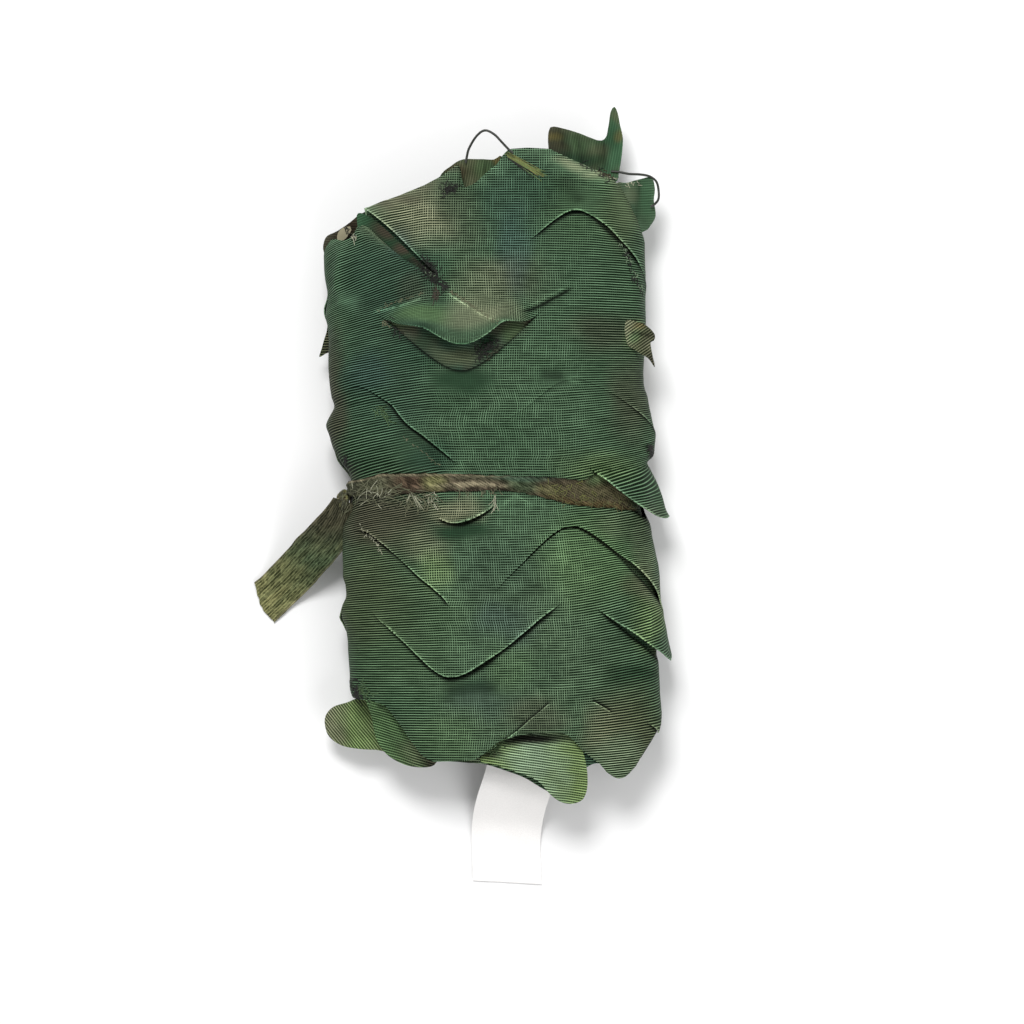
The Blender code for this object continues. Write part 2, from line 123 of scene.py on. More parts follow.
# Cuts that free the leaf tongues. x and tip are the middle of the tongue and its tip; way is +1 for a
# tongue that points up the roll and -1 for one that points down. The cut runs left and right of the
# tip, at one slope to its left and another to its right, round a tip as blunt as blunt. The tongue rises
# by lift and draws back by pull; the cloth on the cut's other side rises by cover and draws back by gape.
# The gap opens over the first two of the last four numbers and closes over the other two, all measured
# round the roll from the tip.
CUTS = (
    # name, x, tip, way, left, right, slope, slope, blunt, lift, pull, cover, gape, from, full, full, to
    ("left_0", -52.5, 145, 1, 12, 46.5, 1, 1.02, 9, -1.6, 9, 2.8, 0.8, -24, 16, 30, 44),
    ("left_1", -52.5, 55.5, 1, 5, 47.5, 0.98, 0.98, 9, -1, 0.8, 2.2, 0.4, 5, 18, 46, 60),
    ("left_2", -52.5, -15.5, 1, 4, 46.5, 1, 1, 9, -0.8, 0.5, 2, 0.3, -4, 6, 46, 60),
    ("middle_1", 1, 63.2, -1, 43.8, 53, 0.9, 0.98, 11, 8.5, 12.5, -0.3, 0, -45, -15, 18, 40),
    ("middle_2", -2.5, -12.2, -1, 10, 21, 0.9, 0.9, 13, 3, 0.6, -0.6, 0.5, -40, -20, 20, 40),
    ("middle_3", -5, -88.4, -1, 37.5, 58.5, 1.13, 0.81, 10, 2.8, 0.8, -0.8, 0.4, -60, -30, 46, 66),
    ("right_1", 57.5, 142.5, 1, 24, 50, 0.98, 0.98, 9, 1, 0.8, 1.6, 0.6, -30, -14, 50, 60),
    ("right_2", 57.5, 59, 1, 42, 48, 0.8, 0.8, 10, 0.8, 0.2, 1.2, 0.2, 14, 30, 50, 60),
    ("right_3", 56.5, -14, 1, 43.5, 56, 0.95, 0.97, 9, 0.8, 1.8, 2.8, 2.2, 4, 30, 54, 60),
    ("right_4a", 57.5, -95, 1, 38, -12, 0.9, 0.9, 9, 0.9, 0.5, 0.5, 0.2, -60, -40, 50, 60),
    ("right_4b", 57.5, -97, 1, -8, 19, 0.8, 0.8, 9, 0.8, 0.5, 0.5, 0.2, -60, -40, 50, 60),
    ("side_2", 104, -9.4, -1, 36, 47, 0.88, 0.8, 8, 10.5, 0, 0, 0, -70, -50, 50, 70),
    ("side_3", 113, -81, -1, 44, 42, 0.79, 0.86, 9, 5.6, 0.4, -1.2, 0.6, -70, -50, 50, 70),
    ("side_4", 113, -119, -1, 18, 30, 0.8, 0.8, 8, 1.5, 0, 0, 0, -70, -50, 50, 70),
)
# The same cuts go on round the back, in columns at these distances round the roll and with their tips
# BACK_SHIFT up or down the roll from these places
BACK_COLUMNS = (-181.5, -126.5, 148.5)
BACK_TIPS = (92, 14, -64)
BACK_SHIFT = 20
BACK_HALF_SPAN = 43
BACK_CUT = (0.9, 0.9, 9, 1.0, 0.4, 0, 0.2, -70, -50, 50, 70)    # slope and so on, as above
CUT_STEP = 1.8          # spacing of the points along a cut or a sharp fold
EDGE_PAINT_REACH = 1.3         # how far from a cut the painted highlight of its raised, worn edge reaches, and the painted shade beneath it
EDGE_HIGHLIGHT = 0.35        # how much paler that painted highlight makes the raised edge
EDGE_SHADE = 0.6        # and how much darker the painted shade makes the edge beneath it
OPEN_UNEVEN = 0.6       # how unevenly a narrow cut gapes along its length, and over what distance
OPEN_UNEVEN_SIZE = 11.0
SHUT = 0.3              # how open it still is where it is least open
WIDE_PULL = 3.0         # a cut whose tongue draws back further than this is a wide one
COVER_REACH = 12.0      # how far from a cut the cloth on its other side is raised
PULL_BOW = 1.5          # power with which a tongue's drawing back grows towards its tip
LIFT_BOW = (1.25, 0.11, 4.0)    # and its lift: less by the second for each millimetre past the third
LIGHT_MIN = 0.25        # what is left of the colour in the darkest painted shade

# How far the outer cloth turns down at the roll's top and bottom ends, and within what distance
DROOP_TOP = (2.8, 7.0)
DROOP_BOTTOM = (1.2, 5.0)
RIM_HIGHLIGHT = 0.35         # painted highlight: how much paler it is where it turns down furthest

# Soft lumps of the outer turn, all over
SWELLS = (
    # height, size, seed
    (0.9, 34, 3.1), (0.5, 15, 5.5), (0.15, 6, 7.5),
)

# Ridges and troughs pressed into the outer turn by the packing. A crease falls off over its width; its
# light is a painted highlight on its crest, or painted shade in its trough if below zero
CREASES = (
    # from x, y, to x, y, width, height, light
    (-42, 92, -30, 94, 1.8, 1.4, 0.8), (-30, 94, -17.5, 99, 1.8, 1.4, 0.8),
    (-6, 101.7, 6, 92.5, 2.6, 1.6, 0.8), (6, 92.5, 23, 74, 2.6, 1.6, 0.7),
    (-47.5, 140.5, -30, 122, 3, 1.2, 0.3), (-58, 124, -60.5, 102, 3.2, 1.5, 0.35),
    (-60, 99.5, -50, 95.5, 4, 1.4, 0.5), (-50, 95.5, -22, 101, 5, -1.2, -0.2),
    (-38, 84, -14, 72, 4, -0.9, -0.2), (-61, 88, -52, 60, 5, 1.1, 0.15),
    (-30, 78, -12, 66.5, 3, 1, 0.1), (2, 172, 24, 160.5, 2.2, 1.3, 0.4),
    (23, 172, 40, 162, 2, -1, -0.2), (42, 170.5, 76, 156.5, 5, 2, 0.6),
    (78, 153, 87, 132, 4.5, 1.3, 0.15), (52, 160, 60, 146, 6, -1.4, -0.4),
    (35, 164, 38, 138, 9, -0.7, 0), (10, 150, -4, 120, 8, 0.8, 0.1),
    (-22, 140, -14, 122, 6, 0.7, 0.1), (54.5, 105.5, 30, 92, 1.6, 1.1, 0.55),
    (55.4, 103.6, 31, 90, 1.4, -0.8, -0.7), (75, 104, 66, 112, 7, 0.8, 0),
    (88, 112, 88, 92, 4, 0.8, -0.1), (60, 86, 88, 82, 7, -0.7, -0.1),
    (40, 62, 52, 60, 4, -0.8, -0.5), (53, 58.6, 60, 57, 2.2, 0.9, 0.5),
    (36, 50, 22, 34, 3, 0.8, 0.1), (70, 50, 90, 30, 5, 0.9, 0.1),
    (64, 40, 84, 34, 5, -0.8, -0.1), (-44, 46, -38, 40, 2, 0.9, 0.3),
    (-30, 36, -8, 18, 4, -0.9, -0.3), (0, 36, 8, 22, 6, 0.8, 0.1),
    (4, 20, -6, 8, 3, 0.7, 0.3), (28, 22, 16, 10, 3, 0.7, 0.1),
    (-46, 20, -50, -4, 5, 0.9, 0), (66, 18, 72, 4, 3, 0.9, 0.2),
    (21.5, -3.5, 27.5, 2, 1.4, 0.8, 0.5), (27.5, 2, 35, -2.5, 1.4, 0.8, 0.6),
    (-20, -28, -10, -48, 6, 0.9, 0.25), (-8, -40, 0, -54, 6, 0.8, 0.2),
    (-34, -16, -18, -20, 4, 0.7, 0.2), (50, -20, 50, -46, 7, 0.9, 0.2),
    (62, -18, 76, -30, 5, 0.7, 0.1), (42, -40, 26, -52, 4, -0.8, -0.2),
    (82, -50, 62, -60, 5, 0.7, 0.1), (93.5, -56, 91, -70, 1.6, 1, 0.4),
    (28, -64, 34, -92, 8, 0.9, 0.1), (-26, -66, -12, -84, 5, 0.8, 0.1),
    (60, -72, 84, -92, 7, -0.8, -0.1), (46, -94, 70, -90, 4, 0.8, 0.2),
    (66, -112, 84, -128, 6, 0.9, 0.1), (92, -104, 90, -130, 4, -0.7, 0),
    (-20, -108, -2, -121, 6, 0.7, 0.1), (20, -108, 44, -107.5, 3, 0.9, 0.1),
    (-8, -94, 20, -93, 5, -0.9, -0.4),
)
SHARP_WIDTH = 3.0       # a narrower crease is a sharp fold: a painted highlight line runs along its crest, and painted shade along its trough
CREASE_ENDS = 0.15      # share of its length over which a crease runs out past each end

SHEET_STEP = 1.9        # spacing of the points of the outer turn where it shows from above
SHEET_STEP_BACK = 3.6   # and elsewhere
SHEET_FINE = (-112.0, 124.0)    # distances round the roll between which it shows
UPPER_SHARE = 0.28      # share of the girth, each side of the crown, on which the patches lie
LAP = 16.0              # how far the outermost turn laps over its own start, on the underside
LAP_DEPTH = 1.3
LAP_EASE = 8.0
OUTER_CLEAR = 0.4       # how far it stands off the roll's skin
SIDE_SMOOTH = 0.4       # how much less its weave shows along the roll's two sides, and where
SIDE_AT = 90.0
SIDE_REACH = 8.0
RAGGED = (0.5, 6)       # how far the cloth's cut ends stray, and over what distance

# Grid of points within a sheet
GRID_CLEAR = 0.45       # how many steps they keep from its cuts, and from its outline
GRID_INSIDE = 0.4
GRID_COLUMN = 0.87      # how many steps their columns lie apart
GRID_CELL = 3           # size of the cells in which near points are looked up
CDT_EPSILON = 1e-5
OUTLINE_SLACK = 0.5     # how far out of the outline a face's middle may lie
BESIDE = 0.2            # how far from a point towards its faces the place just beside it is taken
SHARP_ANGLE = 50.0      # a sharper edge than this, in degrees, isn't shaded smooth

# Slant of the ribs where the cloth lies askew: none over the crown, rising to the right down both sides
SLANT_LEFT = (
    # y, degrees
    (-130, 0), (-92, 1), (-60, 4), (-30, 8), (0, 12), (30, 12), (60, 11), (85, 15), (105, 20), (125, 20),
    (150, 12),
)
SLANT_RIGHT = (
    # y, degrees
    (-120, 6), (-90, 11), (-60, 16), (-40, 18), (-15, 11), (0, 10), (15, 16), (30, 13), (45, 9), (60, 3),
    (75, 0), (150, -2),
)
SLANT_FROM = (-27.0, 27.0)      # distances from the crown at which the slants begin, and how softly
SLANT_SOFT = (8.0, 28.0)
SLANT_REACH = 70.0      # the shift grows no more past this distance from where it began

# Soft blotches of dye on the ground green, all over but for the roll's upper side
BLOTCHES = (
    # colour, size, seed, level that it begins to show at
    ("teal", 46, 1.3, 0.05), ("olive", 40, 7.7, 0.12), ("brown", 38, 4.1, 0.22),
)
BLOTCH_SOFT = 0.25
BLOTCH_STRENGTH = 0.8

# Broad soft patches of colour on the roll's upper side, laid over the ground green in this order.
# Most are dye. The deep green ones just below the raised tongues, at (1.5, 59), (-20, 70), (2, -15.5), (5,
# -94.5) and (84, -86), are painted shadows cast by the tongues, and the sage ones at (57, 165.5) and (70,
# 160.5) are a painted highlight along the top rim, where the cloth turns down.
PATCHES = (
    # x, y, reach across, reach along, colour, strength
    (-24, 140, 22, 20, "sage", 0.95), (14, 106, 18, 14, "sage", 0.45), (30, 108, 18, 14, "brown", 0.42),
    (-22, 109, 12, 8, "brown", 0.45), (10, 150, 14, 7, "deep", 0.45), (50, 152, 16, 10, "deep", 0.2),
    (1, 140, 13, 22, "brown", 0.38), (4, 146, 14, 14, "deep", 0.3), (-20, 112, 16, 9, "deep", 0.45),
    (-2, 109, 12, 8, "deep", 0.3), (20, 105, 70, 55, "deep", 0.1), (-20, 70, 13, 9, "deep", 0.75),
    (-23, 106, 9, 5, "deep", 0.5), (27, 147, 19, 24, "teal", 0.8), (60, 148, 14, 8, "deep", 0.12),
    (38, 151, 14, 9, "deep", 0.32), (21, 87, 14, 8, "sage", 0.45), (82, 147, 13, 24, "olive", 0.55),
    (73, 82, 20, 11, "brown", 0.5), (88, 80, 6, 9, "lime", 0.45), (85, 49, 12, 22, "brown", 0.6),
    (-36, 110, 27, 27, "teal", 0.85), (-40, 58, 30, 36, "teal", 0.7), (-64, 45, 7, 40, "brown", 0.8),
    (-14, 20, 15, 9, "teal", 0.8), (68, 15, 20, 10, "lime", 0.38), (-18, 88, 16, 9, "leaf", 0.8),
    (8, 88, 16, 12, "sage", 0.6), (1.5, 59.0, 16, 6.5, "deep", 0.85), (46, 60, 12, 5, "deep", 0.25),
    (-24, 26, 10, 12, "deep", 0.32), (-50, 18, 18, 10, "deep", 0.3), (-10, 23, 8, 6, "deep", 0.4),
    (-38, -10, 32, 20, "brown", 0.95), (-14, -22, 11, 9, "sage", 0.45), (-11, -36, 9, 12, "lime", 0.45),
    (-47, -50, 23, 24, "olive", 0.65), (-40, -53, 16, 12, "deep", 0.25), (65, -30, 28, 26, "leaf", 0.7),
    (88, -42, 9, 9, "olive", 0.6), (20, -40, 26, 24, "teal", 0.45), (-2, -6, 13, 8, "sage", 0.9),
    (2, -15.5, 16, 5.5, "deep", 1.0), (-40, 145, 9, 4, "brown", 0.7), (-28, 150, 9, 4, "brown", 0.7),
    (-16, 155.5, 9, 4, "brown", 0.6), (-6, 162, 7, 4, "brown", 0.6), (57, 165.5, 12, 3.4, "sage", 0.6),
    (70, 160.5, 10, 3.4, "sage", 0.6), (-22, 103, 9, 6, "brown", 0.35), (93, -60, 9, 13, "lime", 0.5),
    (84, -86, 14, 7, "deep", 0.72), (20, -61, 16, 10, "slate", 0.4), (27, 119, 9, 24, "slate", 0.35),
    (-45, 62, 12, 12, "slate", 0.35), (10, -100, 18, 10, "slate", 0.35), (-30, 128, 8, 8, "slate", 0.35),
    (22, -86, 24, 22, "teal", 0.4), (22, -80, 60, 60, "sage", 0.1), (5, -94.5, 18, 5, "deep", 0.45),
    (-30, -100, 22, 9, "fresh", 0.2), (-18, -76, 44, 26, "fresh", 0.18), (38, -86, 12, 11, "deep", 0.28),
    (25, -84, 14, 14, "leaf", 0.35), (18, 30, 26, 13, "deep", 0.28), (-3, 49, 11, 10, "deep", 0.36),
    (38, -108, 16, 9, "brown", 0.45), (82, -118, 22, 24, "olive", 0.8), (-8, -118, 20, 15, "leaf", 0.35),
    (72, -112, 12, 16, "sage", 0.35), (92, -30, 6, 20, "sage", 0.3), (78, -128, 14, 10, "pale", 0.35),
    (84, -12, 20, 9, "sage", 0.25), (99, -48, 8, 12, "sage", 0.3), (-58, 8, 9, 9, "brown", 0.5),
    (-30, -60, 34, 42, "leaf", 0.2), (-36, -54, 28, 40, "olive", 0.18), (-34, -54, 30, 34, "deep", 0.16),
    (64, 142, 26, 20, "leaf", 0.22), (58, 136, 22, 22, "deep", 0.16), (92, -16, 14, 8, "deep", 0.3),
)
PATCH_STRAY = 5.0       # how far a patch's outline strays, and over what distance
PATCH_STRAY_SIZE = 16
PATCH_STRAY_MOST = 0.15         # what a small one keeps of that for each millimetre of its two reaches
PATCH_CORE = 0.35       # share of its reach out to which a patch is at its full strength
PATCH_FADE = 1.0        # and the share over which it then fades

# Where the weave is worn smooth or lies out of the light
SMOOTH = (
    # x, y, reach across, reach along, strength
    (1.5, 58.5, 17, 7, 0.8), (-40, 145, 10, 4, 0.6), (-28, 150, 10, 4, 0.6), (-14, 156, 10, 4, 0.6),
    (57, 165.5, 12, 4, 0.6), (70, 160.5, 10, 4, 0.6), (3, 88, 22, 10, 0.55), (-22, 90, 14, 7, 0.45),
    (-55, 98, 8, 4, 0.4), (84, 147, 10, 16, 0.4), (61, 148, 12, 7, 0.5), (48, 59, 12, 4, 0.5),
    (-22, 24, 10, 12, 0.5), (8, -95, 20, 6, 0.5), (3, -16, 16, 4, 0.7),
)
SMOOTH_CORE = 0.4
SMOOTH_FADE = 0.9

# Inner turns, wound in behind the outermost one
TURN_FIRST = 1.9        # depth of the first under the outermost
TURN_PITCH = 2.0        # depth from turn to turn, growing by TURN_LOOSE each turn
TURN_LOOSE = 0.12
TURN_STEP = 4.0
TURN_ENDS = (0, 2, 4.5, 8, 13, 20, 32, 50, 75)      # rows in from each end
TURN_WAIST = (30, 22, 15, 9, 3, -3, -9, -16, -24)   # rows along the roll near the tie
TURN_RIM = 20.0         # depth below which their ends follow the outermost turn's no further
TURN_RECESS = 1.6       # how far their ends lie back within it
TURN_UNEVEN = 2.4       # how much further at most, here and there
TURN_SPIRAL = 1.2       # and at each turn's two sides
TURN_SHADE = 0.45       # painted shade: how near their dye comes to the deep green, as they lie inside the roll

# Flaps of the cloth that stand out past the outermost turn, or show through its cuts. Each outline is
# closed, and anchors are places with the sheet's height there, or with on_roll its height over the roll.
# Its three colours run from left to right, under its patches; ribs is the slant of its ribs in degrees,
# and crisp is how crisply its weave shows. Its creases' light is painted, as on the outer turn, and so
# are a few of its patches, marked where they lie.
FLAPS = (
    dict(name="flap_top", colours=("strap_brown", "olive", "fresh"), ribs=80, crisp=0.2, outline=(
        (44, 166), (44.3, 174), (44, 180), (44.6, 184.6), (47, 186.2), (57, 183.6), (69, 179.4), (73, 181),
        (74.4, 187), (75.6, 194.5), (77.5, 197), (79.2, 193.5), (80.2, 187), (81.6, 180.5), (81, 173),
        (79.6, 164), (77, 158), (62, 158)),
        anchors=((47, 166, 32), (45, 184, 30), (58, 183, 31), (72, 179, 28.5), (78, 196, 23), (81, 181, 26),
                 (79, 160, 31), (60, 162, 34), (64, 174, 33)),
        creases=((50, 184, 53, 168, 1.8, -1.2, -0.4), (55, 183, 58, 166, 1.4, 1.2, 0.3),
                 (58.5, 182, 62, 164, 2.2, -1.2, -0.4), (66, 180, 68, 168, 2.4, 1.2, 0.35),
                 (72, 179, 73, 164, 2, -1.4, -0.45), (80.6, 192, 81, 170, 1, 0.8, 0.6),
                 (44.8, 175, 45, 184, 1, 0.6, 0.5), (46, 185.6, 71, 179.6, 0.9, 0.6, 0.5)),
        patches=((48, 181, 4.5, 3.5, "gold", 0.9), (51, 175, 6, 3, "rust", 0.6),
                 (59, 176, 7, 8, "deep", 0.45), (62, 176, 22, 16, "deep", 0.55), (60, 178, 5, 5, "leaf", 0.3),
                 (67, 176, 4, 4, "olive", 0.6), (60, 169, 12, 4, "deep", 0.8), (76, 171, 4, 9, "fresh", 0.8),
                 (77, 183.5, 4, 3, "gold", 0.5), (77, 192, 3, 5, "olive", 0.7))),
    dict(name="flap_corner", colours=("olive", "green", "green"), ribs=4, crisp=0.3, outline=(
        (76, 150), (78, 157.5), (83, 157.8), (89, 159.6), (94, 161.2), (96.2, 161), (97.6, 155), (97, 149.5),
        (98, 142), (95.4, 137), (92.5, 134), (84, 132)),
        anchors=((80, 150, 34), (84, 158, 33), (95, 160, 28), (97, 150, 27), (97, 141, 26), (86, 136, 34)),
        creases=((89.5, 159, 88.5, 138, 1.6, -1, -0.45), (84, 157, 83, 146, 2, 0.8, 0.2),
                 (97, 159, 97.4, 140, 0.9, 0.5, 0.4)),
        patches=((93, 152, 5, 9, "fresh", 0.6), (84, 153, 5, 5, "sage", 0.35))),
    dict(name="flap_inner", colours=("deep", "olive", "deep"), ribs=80, crisp=0.3, outline=(
        (-12, 148), (-10, 160), (-4, 166), (1.5, 169), (10, 169.2), (17, 169), (21, 170.5), (24, 160),
        (14, 146), (0, 144)),
        anchors=((-10, 160, 39), (1.5, 169, 37), (18, 169, 37), (10, 150, 35), (5, 158, 33)),
        creases=((-4, 165, -2, 152, 1.6, -0.8, -0.4), (4, 169, 6, 154, 2, 0.8, 0.25),
                 (13, 169, 12, 156, 1.6, -0.8, -0.35), (-10, 160.4, 1.5, 168.8, 0.9, 0.4, 0.5)),
        patches=((-3, 160, 5, 5, "rust", 0.45), (11, 164, 6, 5, "leaf", 0.6), (19, 168, 3, 3, "gold", 0.7))),
    dict(name="scrap", colours=("scrap", "scrap", "scrap"), ribs=30, crisp=0, outline=(
        (-61.2, 129.4), (-60.8, 132.6), (-58.5, 135), (-54.6, 135.8), (-54, 134), (-56.6, 130.2),
        (-59, 128.6)),
        anchors=((-60, 130, 33.5), (-55, 135, 36), (-57, 132, 35))),
    dict(name="flap_pocket", colours=("brown", "strap_brown", "deep"), ribs=0, crisp=0.3, outline=(
        (-67, 122), (-67.4, 130.4), (-61.5, 134), (-55, 138), (-49, 142.4), (-42, 144), (-42, 130),
        (-52, 120)),
        anchors=((-66, 130, 30), (-50, 141, 34), (-52, 126, 29), (-60, 128, 27))),
    # Its deep green at the left is painted shade under the raised cloth above the cut, and so is its darkest
    # line
    dict(name="flap_gap", colours=("deep", "deep", "strap_brown"), ribs=20, on_roll=True, crisp=0.3, outline=(
        (-51, 141), (-42, 138), (-30, 127), (-18, 115), (-8, 107), (-4, 102), (-8, 97), (-20, 98), (-32, 106),
        (-46, 122)),
        anchors=((-50, 138, -0.8), (-5, 102, -0.5), (-28, 112, -1)),
        patches=((-50, 135, 6, 9, "fresh", 0.7), (-37, 134, 7, 4, "strap_brown", 0.9),
                 (-28, 125, 7, 4.5, "strap_brown", 1), (-20, 116, 6, 4, "strap_brown", 1),
                 (-9, 105, 4, 4, "deep", 1), (-5, 101, 5, 3, "fresh", 0.7),
                 (-24, 115, 8, 2, "dark_thread_and_shadow", 0.7))),
    # Its deep green patches along the raised tongue's edge are painted shade beneath the tongue
    dict(name="under_middle", colours=("brown", "teal", "brown"), ribs=-6, on_roll=True, crisp=0.5, outline=(
        (-40, 97), (-37, 88), (-29, 80), (-18, 71), (-8, 64.5), (2, 61.5), (12, 63.5), (22, 71), (34, 83),
        (38, 90), (24, 96), (0, 96), (-22, 98)),
        anchors=((-38, 94, -1), (-20, 74, -0.9), (0, 63, -1.2), (20, 72, -0.9), (36, 88, -0.6),
                 (0, 90, -0.4)),
        patches=((14, 76, 5, 5, "deep", 1), (-8, 82, 12, 4, "deep", 0.7), (-17, 75, 9, 5, "deep", 0.6),
                 (-30, 86, 6, 4, "leaf", 0.5), (28, 82, 8, 6, "leaf", 0.6), (0, 70, 13, 6, "olive", 0.7))),
    dict(name="leaf_spike", colours=("olive", "brown", "olive"), ribs=0, outline=(
        (-58, 93), (-65, 92), (-67, 84), (-69, 78), (-71.2, 71.6), (-68, 73.2), (-64.5, 74), (-58, 74)),
        anchors=((-60, 84, 33), (-66, 82, 24), (-71, 72, 17))),
    dict(name="leaf_curled", colours=("sage", "olive", "brown"), ribs=35, crisp=0.8, outline=(
        (82, 88), (89, 87.5), (94, 85), (97, 81.6), (96.6, 79), (94.8, 77.8), (95.4, 73), (97.2, 65.6),
        (94.6, 69), (92.4, 70.6), (89.5, 72), (86.5, 74), (83, 77)),
        anchors=((83, 84, 46.5), (89, 82, 45), (96, 81, 39), (95, 76, 42), (97, 66, 36), (88, 75, 46.5)),
        creases=((85, 82.5, 95, 81, 1.2, -0.9, -0.6), (88, 84, 96, 84.5, 1.2, 0.8, 0.3),
                 (95.6, 76, 97, 67, 0.9, 0.6, 0.5)),
        patches=((89, 85, 6, 2.5, "gold", 0.5), (93, 74, 3, 4, "sage", 0.35), (86, 80, 3, 4, "leaf", 0.6))),
    dict(name="lobe_left", colours=("sage", "lime", "sage"), ribs=-52, crisp=0.7, outline=(
        (-36, -98), (-50, -99.4), (-56.5, -102), (-64, -104.6), (-67.8, -109), (-68.3, -114), (-66, -120),
        (-60, -124.2), (-52, -125.6), (-42, -126.2), (-35, -126), (-32, -112)),
        anchors=((-52, -99, 27), (-66, -106, 20), (-68, -114, 17), (-62, -123, 16), (-46, -125, 20),
                 (-36, -112, 27), (-54, -112, 24))),
    dict(name="lobe_dark", colours=("leaf", "leaf", "brown"), ribs=-16, crisp=0.8, outline=(
        (-49, -92), (-46, -101), (-44, -108), (-42.5, -117), (-39, -124.6), (-34, -129.6), (-26, -133),
        (-16, -133.6), (-11.5, -131), (-9, -122), (-18, -104), (-34, -92)),
        anchors=((-44, -98, 44), (-43, -116, 34), (-34, -128, 31), (-16, -132, 36), (-20, -110, 44),
                 (-30, -114, 40)),
        patches=((-22, -127, 12, 7, "sage", 0.35),)),
    dict(name="lobe_under", colours=("pale", "green", "teal"), ribs=0, outline=(
        (-18, -112), (-14, -128), (0, -130.6), (12, -131.6), (22, -134.6), (32, -138.6), (42, -144.6),
        (47, -146), (56, -138), (66, -131.6), (73, -131), (76, -124), (70, -112), (30, -104)),
        anchors=((-12, -126, 42), (12, -130, 42), (42, -144, 37), (66, -130, 42), (40, -114, 44),
                 (10, -112, 44)),
        patches=((2, -128, 14, 5, "sage", 0.45),)),
    dict(name="lobe_front", colours=("lime", "pale", "lime"), ribs=-8, crisp=0.8, outline=(
        (10, -129.6), (14, -125), (19, -119.6), (28, -113), (52, -111), (57, -117.6), (61, -125), (63, -133),
        (63.6, -141), (62.6, -147), (60, -150.6), (55, -152), (50, -150.8), (44.6, -146.4), (40, -141),
        (33, -137), (20, -132.6)),
        anchors=((14, -126, 44), (24, -116, 44.5), (50, -114, 44.5), (30, -128, 46.5), (46, -130, 47.5),
                 (59, -134, 44), (62, -144, 39), (55, -151, 35), (42, -143, 41)),
        # The first two patches are painted shadow: the dark band where it runs in under the outer turn's edge
        patches=((36, -117.6, 21, 3.2, "dark_thread_and_shadow", 1), (18, -124, 6, 3, "dark_thread_and_shadow", 0.8),
                 (34, -127, 12, 6, "pale", 0.35))),
)
FLAP_STEP = 1.6
FLAP_THREADS = 0.25     # how far the lengthwise threads show on them
ANCHOR_NEAR = 6.0       # softness and power of the fall in an anchor's weight with distance
ANCHOR_POWER = 1.6
SCRAP_SIZE = 10.0       # a smaller piece is a scrap that hangs from the flap after it

# The strap's lower and upper edge along the top of the roll
TIE_EDGES = (
    # x, y, y
    (-64, 1.5, 8.2), (-56.5, 1.0, 8.6), (-45, 1.0, 10.4), (-37.5, 1.6, 12.4), (-10, 3.5, 12.5),
    (20, 4.0, 11.5), (40, 1.0, 10.8), (50, -1.8, 10.2), (60, -3.4, 9.2), (65, -4.0, 10.8), (69, -4.3, 12.8),
    (74, -4.7, 10.2), (82, -5.4, 4.8), (88, -5.8, 1.0), (100, -5.5, 0.0),
)
TIE_UNDER = (86.0, 92.0)        # from here to here the strap passes in under a leaf
TIE_GATHERED = (34.0, 50.0)     # from here to here its smooth folds turn into fine gathers
# Its colours: at x along it and at a side from -1, the lower edge, to 1, the upper. The deep green at
# x 86 is painted shade where it passes in under the leaf.
TIE_TONES = (
    # x, side, reach along, reach across, colour, strength
    (-50, 0.0, 24, 2.0, "strap_grey", 1.0), (-54, 0.2, 10, 1.4, "dark_thread_and_shadow", 0.35),
    (-25, 0.1, 9, 0.9, "rust", 0.4), (-12, 0.2, 7, 1.2, "strap_olive", 0.9),
    (-30, 0.8, 24, 0.25, "dark_thread_and_shadow", 0.5), (6, -0.3, 20, 0.4, "strap_tan", 0.8),
    (16, 0.5, 26, 0.45, "strap_grey", 0.6), (31, 0.0, 9, 1.2, "strap_green", 0.7),
    (30, 0.8, 20, 0.4, "teal", 0.6), (45, -0.3, 8, 0.7, "strap_olive", 0.5),
    (66, -0.9, 26, 0.35, "gold", 0.5), (70, 0.2, 22, 0.9, "strap_olive", 0.3),
    (68, 0.9, 6, 0.6, "leaf", 0.6), (86, 0.0, 4, 1.0, "deep", 0.5),
)
TIE_BACK = (-3.8, 8.8)  # the same edges round the sides and the underside
TIE_UPPER_SHARE = 0.27  # share of the girth, each side of the crown, on which TIE_EDGES hold
TIE_CLEAR = 1.3         # how far the strap stands off the cloth
TIE_DIP = 7.0           # and how far it passes in under the leaf
TIE_STEP = 1.5
TIE_ROWS = 18
TIE_FOLDS = (
    # side, reach across, height
    (0.5, 0.3, 0.9), (-0.3, 0.26, 0.8),
)
TIE_GATHER_PITCH = 3.4
TIE_GATHER_HEIGHT = 0.4
TIE_EDGE_SHADE = 0.6     # how much painted shade darkens the strap's edges, where they turn in
KNOT = (-58.6, -1.5, 29.5)      # its middle and its half sizes
KNOT_SIZE = (3.0, 6.0, 4.6)
# The free end, from the knot to where it is cut off
TAIL_ROUTE = (
    # x, y, z, half width
    (-57.6, -1, 33, 6), (-60.6, -9.5, 31.8, 8.6), (-65.6, -17.6, 28, 10.2),
    (-72.4, -25.2, 21, 10.8), (-79.2, -32.2, 13.8, 10.8), (-86, -39.2, 6.8, 10.8),
    (-92.8, -45.8, 2.8, 10.7), (-101, -53.6, 1.5, 10.8),
)
LABEL_ROUTE = (
    # x, y, z
    (31.8, -124, 23), (30.8, -134, 23), (29.5, -140, 22.9), (27.8, -146, 20.6),
    (26, -152, 15.6), (24.6, -158, 9.4), (23.5, -165, 4), (22.9, -174, 1.2),
    (23.3, -185, 0.7), (23.6, -195, 0.7),
)
LABEL_WIDTH = 35.0
LABEL_THICK = 0.35

